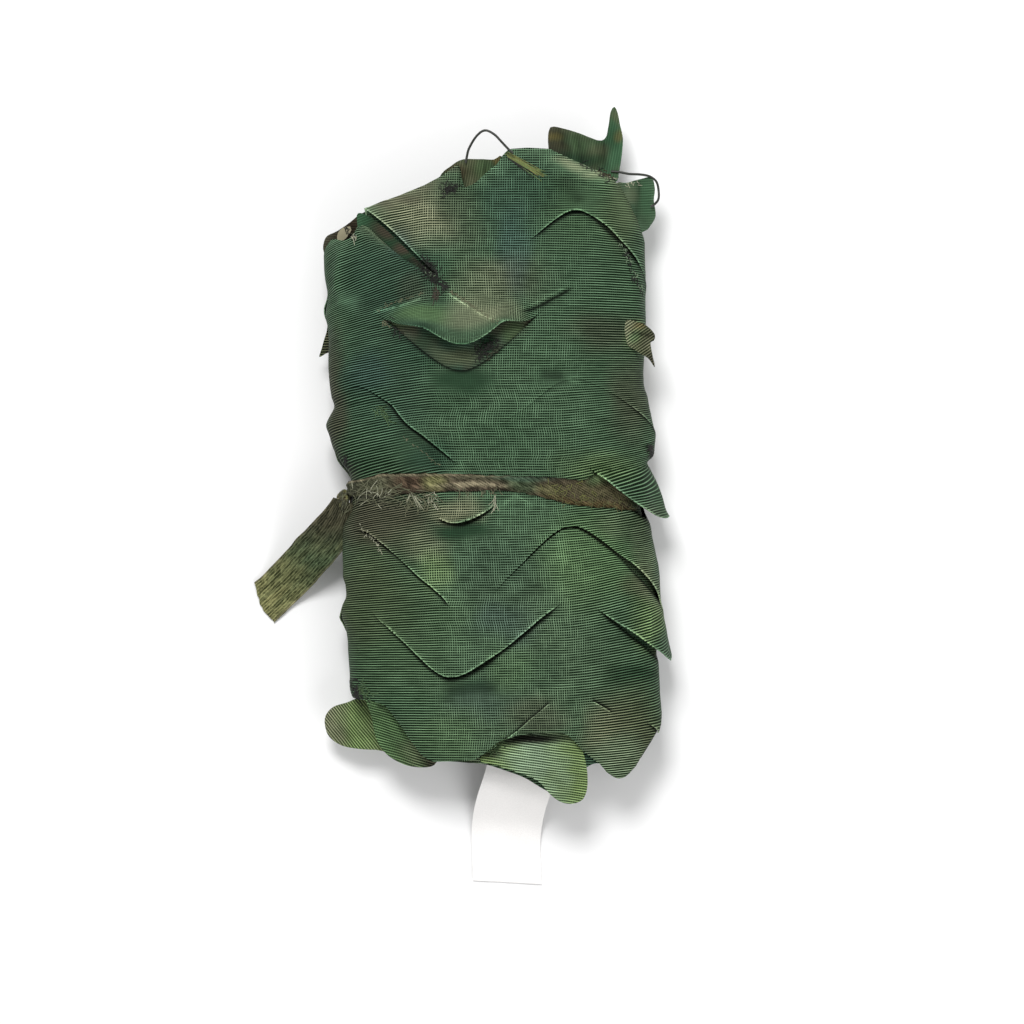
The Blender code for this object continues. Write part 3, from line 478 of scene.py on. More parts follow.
# Loose threads, lying on whatever is beneath them, scattered along a line
FRAYS = (
    # from x, y, to x, y, scatter, count, length, heading and spread in degrees, curl, rise, colour
    (-27, 1.5, -11, 1, 1.6, 30, 6, -62, 30, 50, 1, "sage"),
    (-24, 0, -12, -3, 2, 16, 5, -120, 30, 60, 1, "sage"),
    (-23.5, 2.5, -22, 1, 0.5, 5, 6.5, -62, 10, 20, 1, "thread_pale"),
    (-26, -1, -24.5, -2, 0.4, 3, 5.5, 62, 10, 20, 1, "thread_pale"),
    (-14, 4, -12, -3, 0.9, 10, 4.5, -80, 40, 90, 1, "thread_pale"),
    (17, 3, 18.5, -4, 0.5, 7, 5.5, -80, 20, 40, 0.9, "thread_pale"),
    (-61, 5, -58, -6, 1, 40, 4, 60, 35, 60, 0.5, "strap_grey"),
    (-60, 4, -57, -8, 1.2, 26, 4, 55, 30, 60, 0.6, "sage"),
    (-56, 4, -34, 2, 1.8, 34, 9, 18, 25, 60, 0.6, "sage"),
    (-54, 0, -34, -2, 2.2, 24, 7, 60, 40, 70, 0.6, "strap_grey"),
    (-54, 3, -34, -2, 2.4, 14, 6, 55, 40, 80, 0.6, "thread_pale"),
    (40, 4.6, 64, 3, 2.4, 24, 3.4, 10, 50, 60, 0.5, "thread_gold"),
    (-3, 4.6, 20, 4.6, 0.8, 26, 3, -85, 22, 60, 0.5, "sage"),
    (46, 1, 84, -2, 1.6, 40, 2.2, 80, 30, 60, 0.3, "strap_olive"),
    (42, 0, 84, -3.6, 1.2, 24, 3, -40, 40, 60, 0.4, "strap_olive"),
    (-18.5, 117, -11.5, 109, 1.5, 150, 3.2, -50, 80, 90, 1.2, "dark_thread_and_shadow"),
    (-16, 114, -13, 110, 1, 12, 2.2, -60, 70, 60, 1.3, "pale"),
    (-13, 108, -11.5, 100, 0.8, 24, 3.6, -80, 14, 30, 0.4, "strap_brown"),
    (-10, 107, -7, 104, 0.7, 30, 3, -40, 20, 40, 0.5, "dark_thread_and_shadow"),
    (9, 71, 17, 77, 1.4, 80, 3, 40, 80, 90, 0.8, "dark_thread_and_shadow"),
    (14, 69, 18, 73, 1, 8, 2.6, 40, 60, 60, 0.8, "strap_grey"),
    (-42, 46, -36, 39, 1.2, 22, 4.6, -48, 20, 30, 0.6, "leaf"),
    (-49, -13, -38, -26, 0.6, 26, 1.4, -50, 40, 60, 0.4, "thread_pale"),
    (80, 127, 90, 104, 0.6, 30, 1.5, -62, 40, 60, 0.3, "pale"),
    (81, 125, 90, 103, 0.6, 36, 2.2, -62, 40, 60, 0.3, "dark_thread_and_shadow"),
    (-54, -90, -50, -100, 1.6, 70, 4, -60, 50, 90, 0.7, "dark_thread_and_shadow"),
    (-50, -92, -45, -100, 1.6, 30, 3.6, -50, 60, 90, 0.8, "leaf"),
    (-9, 153, -3, 154.5, 0.9, 44, 3.4, 10, 50, 90, 0.9, "dark_thread_and_shadow"),
    (22.5, 172, 26, 170, 0.7, 34, 17, -32, 2, 5, 0.4, "thread_gold"),
    (23, 171.5, 27, 169, 0.7, 12, 17, -33, 2, 5, 0.5, "lime"),
    (23, 171, 26, 168, 0.6, 8, 16, -34, 2, 5, 0.3, "dark_thread_and_shadow"),
    (94.5, 27, 96.5, 21, 0.7, 60, 3.4, -65, 40, 90, 0.6, "dark_thread_and_shadow"),
    (-54, 132, -52, 128, 0.6, 16, 2.6, 75, 50, 90, 0.8, "thread_pale"),
    (-57.5, 19, -57, 13, 0.6, 22, 3.4, 65, 30, 60, 0.5, "dark_thread_and_shadow"),
    (-57, 134, -53, 128, 0.7, 26, 2.6, 75, 50, 90, 0.5, "dark_thread_and_shadow"),
    (60, 167.5, 76, 159, 0.8, 40, 3, -35, 50, 60, 0.6, "dark_thread_and_shadow"),
    (66, 166, 74, 161, 0.8, 14, 3, -35, 30, 60, 0.6, "rust"),
    (-38, 88, -35, 85, 0.8, 10, 2.4, -60, 40, 60, 0.5, "sage"),
    (-36, 88, -28, 80, 0.8, 20, 3, -45, 40, 60, 0.4, "dark_thread_and_shadow"),
    (14, -126, 22, -119, 1.2, 34, 3, 40, 50, 60, 0.5, "leaf"),
    (-5, 103, 19, 86, 0.35, 60, 1.5, -52, 30, 60, 0.4, "sage"),
    (-42, 93, -19, 101, 0.35, 30, 1.3, 15, 30, 60, 0.3, "sage"),
    (76, 160, 89, 157, 0.8, 26, 2.6, 0, 60, 90, 0.8, "thread_pale"),
    (-32, 34, -10, 17, 0.4, 20, 1.2, -40, 30, 60, 0.3, "sage"),
)
FRAY_RADIUS = 0.14
FRAY_STEPS = 6          # straight stretches in each thread
FRAY_LENGTHS = (0.5, 1.2)       # shares of its length that a thread may have, and of its rise
FRAY_RISES = (0.3, 1.0)
FRAY_LOOK = 200.0       # height from which what lies beneath it is looked for
FRAY_FLOOR = 1.5        # a thread ends where nothing lies beneath it but the floor
FRAY_DROP = 4.0         # and where what lies beneath it steps up or down by more than this

CORD_RADIUS = 0.6
CORDS = {
    "edge_cord_left": (
        (3, 167, 38.4), (3.6, 170.5, 38.7), (4.8, 174.5, 40), (8.4, 180, 42.3), (12.5, 182.7, 43.5),
        (17, 180.8, 44.2), (20.5, 177.3, 44.2), (24, 173.6, 43.8), (26.5, 171.3, 43.75)),
    "edge_cord_right": (
        (75.5, 163.6, 31.6), (79.5, 163.3, 32), (84.5, 162.3, 32), (90, 162.2, 30.6),
        (95, 161.4, 28.6), (98.4, 158.8, 27.2), (99.5, 154, 26.8), (99.2, 149.8, 28.2),
        (97, 147.2, 29.6), (95.4, 146.2, 29.7)),
}


# ------------ view and light

CAMERA_ABOVE = 1600.0   # from the camera to the level that the view's width is measured at
VIEW_LEVEL = 30.0
VIEW_WIDTH = 512.0
VIEW_CENTRE = (26.0, -6.5)
SENSOR_WIDTH = 36.0
CLIP_END = 20.0         # metres, like FLOOR_REACH, which is from the floor's middle to its sides
FLOOR_REACH = 6.0
SKY_STRENGTH = 0.45
LIGHTS = (
    # name, x, y, z and size in metres, power in watts
    ("key", -0.20, 0.85, 1.50, 0.55, 22.5),
    ("fill", 0.75, -1.15, 1.2, 1.3, 12.0),
)


# ------------ small helpers

def linear(hex_colour):
    """An sRGB hex colour as three linear values."""
    parts = [int(hex_colour[k:k + 2], 16) / 255.0 for k in (1, 3, 5)]
    return [p / 12.92 if p <= 0.04045 else ((p + 0.055) / 1.055) ** 2.4 for p in parts]


def ease(value):
    """Smooth step from 0 to 1."""
    value = min(max(value, 0.0), 1.0)
    return value * value * (3.0 - 2.0 * value)


def blend(low, high, share):
    """Value at a share of the way from low to high."""
    return low + (high - low) * share


def wander(place, size, seed=0.0):
    """Smooth noise from about -1 to 1 over a place in millimetres, with lumps of the given size."""
    return noise.noise(Vector((place[0] / size, place[1] / size, seed)))


class Profile:
    """A smooth curve through one column of a table, read by the table's first column."""

    def __init__(self, rows, column=1):
        self.at = [row[0] for row in rows]
        self.value = [row[column] for row in rows]
        secants = [(v1 - v0) / (a1 - a0) for a0, a1, v0, v1 in zip(
            self.at, self.at[1:], self.value, self.value[1:])]
        inner = [0.0 if s0 * s1 <= 0.0 else 2.0 * s0 * s1 / (s0 + s1) for s0, s1 in zip(secants, secants[1:])]
        self.slope = [secants[0], *inner, secants[-1]]

    def __call__(self, at):
        if at <= self.at[0]:
            return self.value[0]
        if at >= self.at[-1]:
            return self.value[-1]
        k = bisect_right(self.at, at) - 1
        step = self.at[k + 1] - self.at[k]
        t = (at - self.at[k]) / step
        s = t * t * (3.0 - 2.0 * t)
        return (blend(self.value[k], self.value[k + 1], s)
                + step * (self.slope[k] * t * (1.0 - t) ** 2 - self.slope[k + 1] * t * t * (1.0 - t)))


def smooth_line(points, steps):
    """A smooth line of points through a few of them, ends included."""
    line = []
    for index in range(len(points) - 1):
        before, here, after, beyond = (
            Vector(points[min(max(index + k, 0), len(points) - 1)]) for k in (-1, 0, 1, 2))
        handles = (here, here + (after - before) / 6, after - (beyond - here) / 6, after)
        line.extend(interpolate_bezier(*handles, steps + 1)[:-1])
    line.append(Vector(points[-1]))
    return line


def smooth_loop(points, spacing):
    """A closed smooth outline through its corners, with points about spacing apart."""
    count = len(points)
    line = []
    for index in range(count):
        before, here, after, beyond = (Vector((*points[(index + k) % count], 0.0)) for k in (-1, 0, 1, 2))
        steps = max(1, round((after - here).length / spacing))
        handles = (here, here + (after - before) / 6, after - (beyond - here) / 6, after)
        line.extend(interpolate_bezier(*handles, steps + 1)[:-1])
    return [point.to_2d() for point in line]


# ------------ surface of the roll

def signed_power(value, exponent):
    """A power that keeps its value's sign."""
    return math.copysign(abs(value) ** exponent, value)


def unit_section(turn):
    """Point of the section's unit outline after a part of a turn from the crown."""
    angle = 2.0 * math.pi * turn
    return signed_power(math.sin(angle), 2.0 / ROUNDNESS), signed_power(math.cos(angle), 2.0 / ROUNDNESS)


def measure_section():
    """Distances round the nominal section, with the unit outline's points there."""
    distances, across, up = [], [], []
    reached = 0.0
    for step in range(SECTION_STEPS + 1):
        x, z = unit_section(step / SECTION_STEPS)
        if across:
            reached += math.hypot(0.5 * NOMINAL_WIDTH * (x - across[-1]), 0.5 * NOMINAL_HEIGHT * (z - up[-1]))
        distances.append(reached)
        across.append(x)
        up.append(z)
    return distances, across, up


SECTION = measure_section()
GIRTH = SECTION[0][-1]
LEFT_SIDE = Profile(LEFT_EDGE)
RIGHT_SIDE = Profile(RIGHT_EDGE)
HEIGHT = Profile(HEIGHTS)
TOP_RIM = Profile(TOP_EDGE)
BOTTOM_RIM = Profile(BOTTOM_EDGE)
LEFT_SLANT = Profile(SLANT_LEFT)
RIGHT_SLANT = Profile(SLANT_RIGHT)


def section_at(distance):
    """Unit point of the section at a distance round it."""
    distance %= GIRTH
    distances, across, up = SECTION
    k = min(bisect_right(distances, distance) - 1, SECTION_STEPS - 1)
    share = (distance - distances[k]) / max(distances[k + 1] - distances[k], 1e-9)
    return blend(across[k], across[k + 1], share), blend(up[k], up[k + 1], share)


def waist(y):
    """How far the tie draws the roll in at y, from 0 to 1."""
    return 1.0 - ease((abs(y - WAIST_Y) - WAIST_BAND) / WAIST_EASE)


def skin_point(distance, y, depth=0.0):
    """Point of the roll's skin, or of an inner turn at a depth below it."""
    left, right, height = LEFT_SIDE(y), RIGHT_SIDE(y), HEIGHT(y)
    pinch = WAIST_DEPTH * waist(y)
    unit_x, unit_z = section_at(distance)
    half_width = 0.5 * (right - left) - pinch - depth
    half_height = (0.5 * height - pinch) * (1.0 - depth / (0.5 * NOMINAL_HEIGHT))
    x = 0.5 * (left + right) + unit_x * half_width
    return Vector((x, y, 0.5 * height - FLAT_SPOT + unit_z * half_height))


def skin(distance, y, out=0.0, depth=0.0):
    """Point that stands off the roll's skin, or off an inner turn, along its normal."""
    here = skin_point(distance, y, depth)
    if out:
        tangent = skin_point(distance + 1.0, y, depth) - skin_point(distance - 1.0, y, depth)
        here += tangent.cross(ALONG).normalized() * out
    here.z = max(here.z, 0.0)
    return here


def distance_at(x, y):
    """Distance round the roll's upper side at which it reaches x."""
    left, right = LEFT_SIDE(y), RIGHT_SIDE(y)
    pinch = WAIST_DEPTH * waist(y)
    unit = (x - 0.5 * (left + right)) / (0.5 * (right - left) - pinch)
    unit = min(max(unit, -0.999), 0.999)
    turn = math.asin(abs(unit) ** (0.5 * ROUNDNESS)) / (2.0 * math.pi)
    return math.copysign(SECTION[0][round(turn * SECTION_STEPS)], unit)


def over(x, y, out=0.0):
    """Point above the roll's upper side at x and y."""
    return skin(distance_at(x, y), y, out)


def rim(distance, end, depth=0.0):
    """Where the cloth ends along the roll, at a distance round it; end is +1 for the top."""
    profile = TOP_RIM if end > 0 else BOTTOM_RIM
    guess = skin_point(distance, 110.0 * end, depth).x
    return profile(guess)


# ------------ cuts and sheets of cloth

def nearness(away, strength=1.0):
    """Mark of an edge some way off: 1 on it, less where the edge hardly shows."""
    return max(1.0 - away / MARK_REACH - 0.5 * (1.0 - min(strength, 1.0)), 0.0)


class Cut:
    """A curved cut across the cloth that frees a leaf tongue, given by a row of CUTS."""

    def __init__(self, middle, tip, way, left, right, slope_left, slope_right, blunt, lift, pull, cover, gape,
                 *window):
        self.middle, self.tip, self.way = middle, tip, way
        self.left, self.right = left, right
        self.slope_left, self.slope_right, self.blunt = slope_left, slope_right, blunt
        self.lift, self.pull, self.cover, self.gape = lift, pull, cover, gape
        self.window = window

    def drop(self, offset):
        """How far the cut has fallen away from its tip at an offset to one side."""
        slope = self.slope_left if offset < 0.0 else self.slope_right
        return math.hypot(slope * offset, self.blunt) - self.blunt

    def edge(self, distance):
        """Place along the roll of the cut at a distance round it."""
        return self.tip - self.way * self.drop(distance - self.middle)

    def line(self):
        """Points along the cut."""
        steps = max(2, round((self.left + self.right) / CUT_STEP))
        offsets = [blend(-self.left, self.right, step / steps) for step in range(steps + 1)]
        return [Vector((self.middle + offset, self.edge(self.middle + offset))) for offset in offsets]

    def move(self, place, side):
        """How far the cloth rises and shifts along the roll at a place, its painted light or shade, and its
        marks.

        side is a point just beside the place, on its own side of the cut. The marks are those of the raised
        edge, worn and given a painted highlight, and of the edge under it, in painted shade."""
        offset = side.x - self.middle
        if not -self.left < offset < self.right:
            return 0.0, 0.0, 0.0, (0.0, 0.0)
        share = (offset + self.left) / (self.left + self.right)
        ends = 4.0 * share * (1.0 - share)
        opens, full, fades, shut = self.window
        open_here = ease((offset - opens) / (full - opens)) * ease((shut - offset) / (shut - fades))
        if self.pull < WIDE_PULL:
            uneven = OPEN_UNEVEN * wander((offset, self.tip), OPEN_UNEVEN_SIZE, 2.9)
            open_here = blend(SHUT, 1.0, open_here) * (1.0 + uneven)
        root = blend(self.drop(self.left), self.drop(self.right), share)
        inside = self.way * (self.edge(side.x) - side.y)
        offset_there = place.x - self.middle
        slope = self.slope_left if offset < 0.0 else self.slope_right
        steep = slope * slope * offset_there / math.hypot(slope * offset_there, self.blunt)
        away = abs(self.edge(place.x) - place.y) / math.hypot(steep, 1.0)
        strength = min(4.0 * ends, 1.0) * min(open_here, 1.0)
        # The raised side of the cut gets a painted highlight along its edge, the side under it painted shade
        upper = (inside >= 0.0) == (self.lift >= self.cover)
        mark = nearness(away, strength)
        marks = (mark, 0.0) if upper else (0.0, mark)
        light = (EDGE_HIGHLIGHT if upper else -EDGE_SHADE) * math.exp(-(away / EDGE_PAINT_REACH) ** 2) * strength
        if inside >= 0.0:
            length = max(root - self.drop(offset), 0.5)
            free = max(1.0 - inside / length, 0.0) * min(3.0 * ends, 1.0) * open_here
            bow = LIFT_BOW[0] - LIFT_BOW[1] * max(self.lift - LIFT_BOW[2], 0.0)
            return self.lift * free ** bow, -self.way * self.pull * free ** PULL_BOW, light, marks
        near = math.exp(-(inside / COVER_REACH) ** 2) * ends * open_here
        return self.cover * near, self.way * self.gape * near, light, marks


class Crease:
    """A straight ridge or trough between two places of a flat sheet."""

    def __init__(self, start, end, width, height, light):
        self.start = Vector(start)
        self.run = Vector(end) - self.start
        self.width, self.height, self.light = width, height, light

    def line(self):
        """Points along the crease."""
        steps = max(2, round(self.run.length / CUT_STEP))
        return [self.start + self.run * (step / steps) for step in range(steps + 1)]

    def at(self, place):
        """How far the cloth rises at a place, its painted light or shade, and its marks, as for a cut."""
        offset = place - self.start
        share = offset.dot(self.run) / self.run.length_squared
        away = abs(offset.cross(self.run)) / self.run.length
        past_end, fade = 1.0 + CREASE_ENDS, 2.0 * CREASE_ENDS
        if not -CREASE_ENDS < share < past_end or away > 3.0 * self.width:
            return 0.0, 0.0, (0.0, 0.0)
        sharp = self.width < SHARP_WIDTH
        ends = ease((share + CREASE_ENDS) / fade) * ease((past_end - share) / fade)
        near = ends * math.exp(-away / self.width if sharp else -(away / self.width) ** 2)
        mark = nearness(away, abs(self.light) * ends) if sharp else 0.0
        marks = (mark, 0.0) if self.light > 0.0 else (0.0, mark)
        # Painted highlight on a ridge's crest, painted shade in a trough
        return self.height * near, self.light * near ** 2, marks


def crumple(creases, place, rise, light=1.0, wear_and_highlight=0.0, shaded=0.0):
    """Height, painted light and marks of a sheet at a place, with what its creases add to them."""
    for crease in creases:
        raised, pale, marks = crease.at(place)
        rise += raised
        light += pale
        wear_and_highlight, shaded = max(wear_and_highlight, marks[0]), max(shaded, marks[1])
    return rise, light, wear_and_highlight, shaded


def make_cuts():
    """All cuts of the outermost turn, placed by their distance round the roll."""
    cuts = []
    for _, x, tip, way, left, right, *rest in CUTS:
        centre = 0.5 * (LEFT_SIDE(tip) + RIGHT_SIDE(tip))
        cuts.append(Cut(x - centre, tip, way, left, right, *rest))
    for column in BACK_COLUMNS:
        way = 1 if column > 0 else -1
        for tip in BACK_TIPS:
            cuts.append(Cut(column, tip + BACK_SHIFT * way, way, BACK_HALF_SPAN, BACK_HALF_SPAN, *BACK_CUT))
    return cuts


def point_in(outline, place):
    """Whether a place lies inside a closed outline."""
    inside = False
    for low, high in zip(outline, outline[1:] + outline[:1]):
        if (low.y > place.y) != (high.y > place.y):
            crossing = low.x + (place.y - low.y) * (high.x - low.x) / (high.y - low.y)
            inside ^= crossing > place.x
    return inside


def grid_points(outline, lines, spacing, inside):
    """Points of an even triangular grid within an outline, clear of the points of some lines."""
    near_by = {}
    for point in lines:
        near_by.setdefault((int(point.x // GRID_CELL), int(point.y // GRID_CELL)), []).append(point)
    (low_x, high_x), (low_y, high_y) = (
        (min(values), max(values)) for values in zip(*[(point.x, point.y) for point in outline]))
    points = []
    x, column = low_x, 0
    while x < high_x:
        step = spacing(x)
        y = low_y + (0.5 * step if column % 2 else 0.0)
        while y < high_y:
            place = Vector((x, y))
            cell_x, cell_y = int(x // GRID_CELL), int(y // GRID_CELL)
            near = [point for i in (-1, 0, 1) for j in (-1, 0, 1)
                    for point in near_by.get((cell_x + i, cell_y + j), ())]
            clear = all((point - place).length > GRID_CLEAR * step for point in near)
            if clear and inside(place, GRID_INSIDE * step):
                points.append(place)
            y += step
        x += GRID_COLUMN * step
        column += 1
    return points


def cut_sheet(outline, spacing, inside, cuts=(), folds=()):
    """A flat sheet of faces within a closed outline, parted along its cuts, with points along its folds.

    spacing gives the distance between points at a place across the sheet; inside tells whether a place
    lies in the sheet by at least a margin."""
    points = list(outline)
    edges = [(k, (k + 1) % len(outline)) for k in range(len(outline))]
    first_cut = last_cut = len(edges)
    for number, line in enumerate([*[cut.line() for cut in cuts], *folds]):
        start = len(points)
        points.extend(line)
        edges.extend((start + k, start + k + 1) for k in range(len(line) - 1))
        if number < len(cuts):
            last_cut = len(edges)
    points.extend(grid_points(outline, points, spacing, inside))
    verts, made_edges, faces, _, origins, _ = delaunay_2d_cdt(points, edges, [], 0, CDT_EPSILON, True)
    bm = bmesh.new()
    made = [bm.verts.new((point.x, point.y, 0.0)) for point in verts]
    for face in faces:
        middle = sum((verts[k] for k in face), Vector((0.0, 0.0))) / len(face)
        if inside(middle, -OUTLINE_SLACK):
            bm.faces.new([made[k] for k in face])
    slit = []
    for (a, b), origin in zip(made_edges, origins):
        edge = bm.edges.get((made[a], made[b]))
        if edge and len(edge.link_faces) == 2 and any(first_cut <= k < last_cut for k in origin):
            slit.append(edge)
    bmesh.ops.delete(bm, geom=[v for v in bm.verts if not v.link_faces], context="VERTS")
    bmesh.ops.split_edges(bm, edges=slit)
    return bm


def add_piece(name, mesh, material):
    """Put a finished mesh in the scene, riding on the part's one body."""
    piece = bpy.data.objects.new(name, mesh)
    bpy.context.scene.collection.objects.link(piece)
    mesh.materials.clear()
    mesh.materials.append(material)
    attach(piece, "root")
    return piece


def lay_cloth(name, bm, place_point, thickness, material):
    """Bend a flat sheet into its place and give it its thickness, its weave's map and its dye.

    place_point takes a point of the flat sheet and one just beside it, on its own side of any cut. It
    returns where the point goes, its place in the weave, its colour with how far the threads show, how
    crisply the weave shows and, if it has any, its marks of edges with a painted highlight or in painted
    shade."""
    bm.verts.index_update()
    places = []
    for vert in bm.verts:
        around = [face.calc_center_median() for face in vert.link_faces]
        middle = sum(around, Vector()) / len(around)
        places.append(place_point(vert.co.to_2d(), vert.co.lerp(middle, BESIDE).to_2d()))
    uv_layer = bm.loops.layers.uv.new(WEAVE_UV)
    tint_layer = bm.verts.layers.float_color.new(TINT)
    crisp_layer = bm.verts.layers.float.new(CRISP)
    wear_and_highlight_layer = bm.verts.layers.float.new(WEAR_AND_HIGHLIGHT)
    shaded_layer = bm.verts.layers.float.new(SHADED)
    for vert, (point, _, colour, crisp, *marks) in zip(bm.verts, places):
        vert.co = point * MM
        vert[tint_layer] = colour
        vert[crisp_layer] = crisp
        if marks:
            vert[wear_and_highlight_layer], vert[shaded_layer] = marks[0]
    for face in bm.faces:
        face.smooth = True
        for loop in face.loops:
            loop[uv_layer].uv = Vector(places[loop.vert.index][1]) * MM
    mesh = bpy.data.meshes.new(name)
    bm.to_mesh(mesh)
    bm.free()
    blank = bpy.data.objects.new(name + "_blank", mesh)
    bpy.context.scene.collection.objects.link(blank)
    solidify = blank.modifiers.new("Thickness", "SOLIDIFY")
    solidify.thickness = thickness
    solidify.offset = -1.0
    ready = blank.evaluated_get(bpy.context.evaluated_depsgraph_get())
    solid = bpy.data.meshes.new_from_object(ready)
    solid.name = name
    solid.set_sharp_from_angle(angle=math.radians(SHARP_ANGLE))
    bpy.data.objects.remove(blank)
    bpy.data.meshes.remove(mesh)
    return add_piece(name, solid, material)


# ------------ colour of the cloth

def general_dye(place, colours):
    """The dye away from the roll's upper side: soft blotches of three colours on green."""
    colour = Vector(colours.green)
    for name, size, seed, level in BLOTCHES:
        weight = ease((wander(place, size, seed) - level) / BLOTCH_SOFT + 0.5)
        colour = colour.lerp(Vector(getattr(colours, name)), BLOTCH_STRENGTH * weight)
    return colour


def lay_patches(colour, place, patches, colours):
    """A colour with soft, uneven patches of dye, or of painted shadow or highlight, laid over it, where they
    reach a place.
    """
    stray_x, stray_y = (PATCH_STRAY * wander(place, PATCH_STRAY_SIZE, seed) for seed in (2.2, 9.4))
    for at_x, at_y, reach_x, reach_y, name, strength in patches:
        free = min(PATCH_STRAY_MOST * (reach_x + reach_y), 1.0)
        away = math.hypot((place[0] + free * stray_x - at_x) / reach_x,
                          (place[1] + free * stray_y - at_y) / reach_y)
        if away < PATCH_CORE + PATCH_FADE:
            share = strength * (1.0 - ease((away - PATCH_CORE) / PATCH_FADE))
            colour = colour.lerp(Vector(getattr(colours, name)), share)
    return colour


def crispness(place):
    """How crisply the weave shows at a place, from 0 to 1."""
    crisp = 1.0
    for at_x, at_y, reach_x, reach_y, strength in SMOOTH:
        away = math.hypot((place[0] - at_x) / reach_x, (place[1] - at_y) / reach_y)
        crisp *= 1.0 - strength * (1.0 - ease((away - SMOOTH_CORE) / SMOOTH_FADE))
    return crisp


def rib_shift(distance, y):
    """How far the ribs are shifted along the roll at a place, where the cloth lies askew."""
    if distance < SLANT_FROM[0]:
        away, slant, soft = distance - SLANT_FROM[0], LEFT_SLANT(y), SLANT_SOFT[0]
    elif distance > SLANT_FROM[1]:
        away, slant, soft = distance - SLANT_FROM[1], RIGHT_SLANT(y), SLANT_SOFT[1]
    else:
        return 0.0
    away = math.copysign(min(abs(away), SLANT_REACH), away)
    return math.tan(math.radians(slant)) * away * abs(away) / (abs(away) + soft)


# ------------ materials

# Woven cloth. Its noise has lumps of these sizes.
DRIFT_SIZE = 11.11      # where the yarns wander from straight
SPOT_SIZE = 5.882       # where threads and ribs come forward by turns
BLOTCH_SIZE = 22.22     # where the dye is uneven
FIBRE_SIZE = 1.923      # matted fibres
HIGHLIGHT_BREAK_SIZE = 1.111      # where the painted highlight of a worn edge breaks off
YARN_WANDER = 1.6       # how far the yarns wander, in radians of their pitch
SLUB_STRETCH = 0.1      # thickness of a yarn's thick and thin places over their length
THREADS_SHOW = (0.225, 0.9)     # least and most that the threads come forward in a spot
RIBS_UNDER = 0.4        # how much the ribs sink where they do
FIBRE_STRETCH = (0.3, 1.0, 1.0)         # how the fibres are drawn out across the weave
LEVEL_MOST = 1.8        # brightest level, where the painted highlight of a worn edge lies on a crest
MEAN_LEVEL = 0.24       # between gap, 0, and crest, 1
GAP_SHADE = (0.01, 0.09, 0.02)  # painted shade: what is left of the dye in the gaps, where the green is kept most
EDGE_HIGHLIGHT_GAIN = 0.75        # how much brighter the painted highlight of a worn edge is than the weave
SHADED_SHADE = 0.25     # painted shade: what is left of the colour on an edge under another
CREST_HIGHLIGHT_GAIN = 5.6        # painted highlight: how much paler than the dye a yarn's crest is
CREST_SATURATION = 0.86         # and how much of the dye's saturation it keeps
WEAVE_DEPTH = 0.3       # relief of the weave, and of a plain surface's grain
GRAIN_DEPTH = 0.2


def lumps(size):
    """Scale of a noise texture whose lumps have a size in millimetres."""
    return 1.0 / (size * MM)


def add_node(tree, kind, inputs=None, **settings):
    """Add a shader node of a kind, such as Math. inputs maps a socket's name or number to a value, to another
    node's socket or to a node, whose first output is then meant."""
    node = tree.nodes.new("ShaderNode" + kind)
    for name, value in settings.items():
        setattr(node, name, value)
    for socket, value in (inputs or {}).items():
        if isinstance(value, bpy.types.Node):
            value = value.outputs[0]
        if isinstance(value, bpy.types.NodeSocket):
            tree.links.new(value, node.inputs[socket])
        else:
            node.inputs[socket].default_value = value
    return node


def new_material(name):
    """An empty node material with its output; returns the material, its tree and the output node."""
    material = bpy.data.materials.new(name)
    material.use_nodes = True
    tree = material.node_tree
    tree.nodes.clear()
    return material, tree, add_node(tree, "OutputMaterial")


def yarns(tree, place, beside, pitch, sharpness, wobble):
    """Raised yarns a pitch apart, each standing out more here and less there along its length."""
    phase = add_node(tree, "Math", {0: place, 1: math.tau / pitch, 2: wobble}, operation="MULTIPLY_ADD")
    wave = add_node(tree, "Math", {0: phase}, operation="SINE")
    wave = add_node(tree, "Math", {0: wave, 1: 0.5, 2: 0.5}, operation="MULTIPLY_ADD")
    crest = add_node(tree, "Math", {0: wave, 1: sharpness}, operation="POWER")
    run = add_node(tree, "Math", {0: beside, 1: SLUB_STRETCH}, operation="MULTIPLY")
    drawn = add_node(tree, "CombineXYZ", {0: place, 1: run})
    slub = add_node(tree, "TexNoise", {"Vector": drawn, "Scale": 1.0 / pitch, "Detail": 2.0})
    height = add_node(tree, "MapRange", {0: slub, 1: 0.3, 2: 0.7, 3: 0.65, 4: 1.4})
    return add_node(tree, "Math", {0: crest, 1: height}, operation="MULTIPLY")


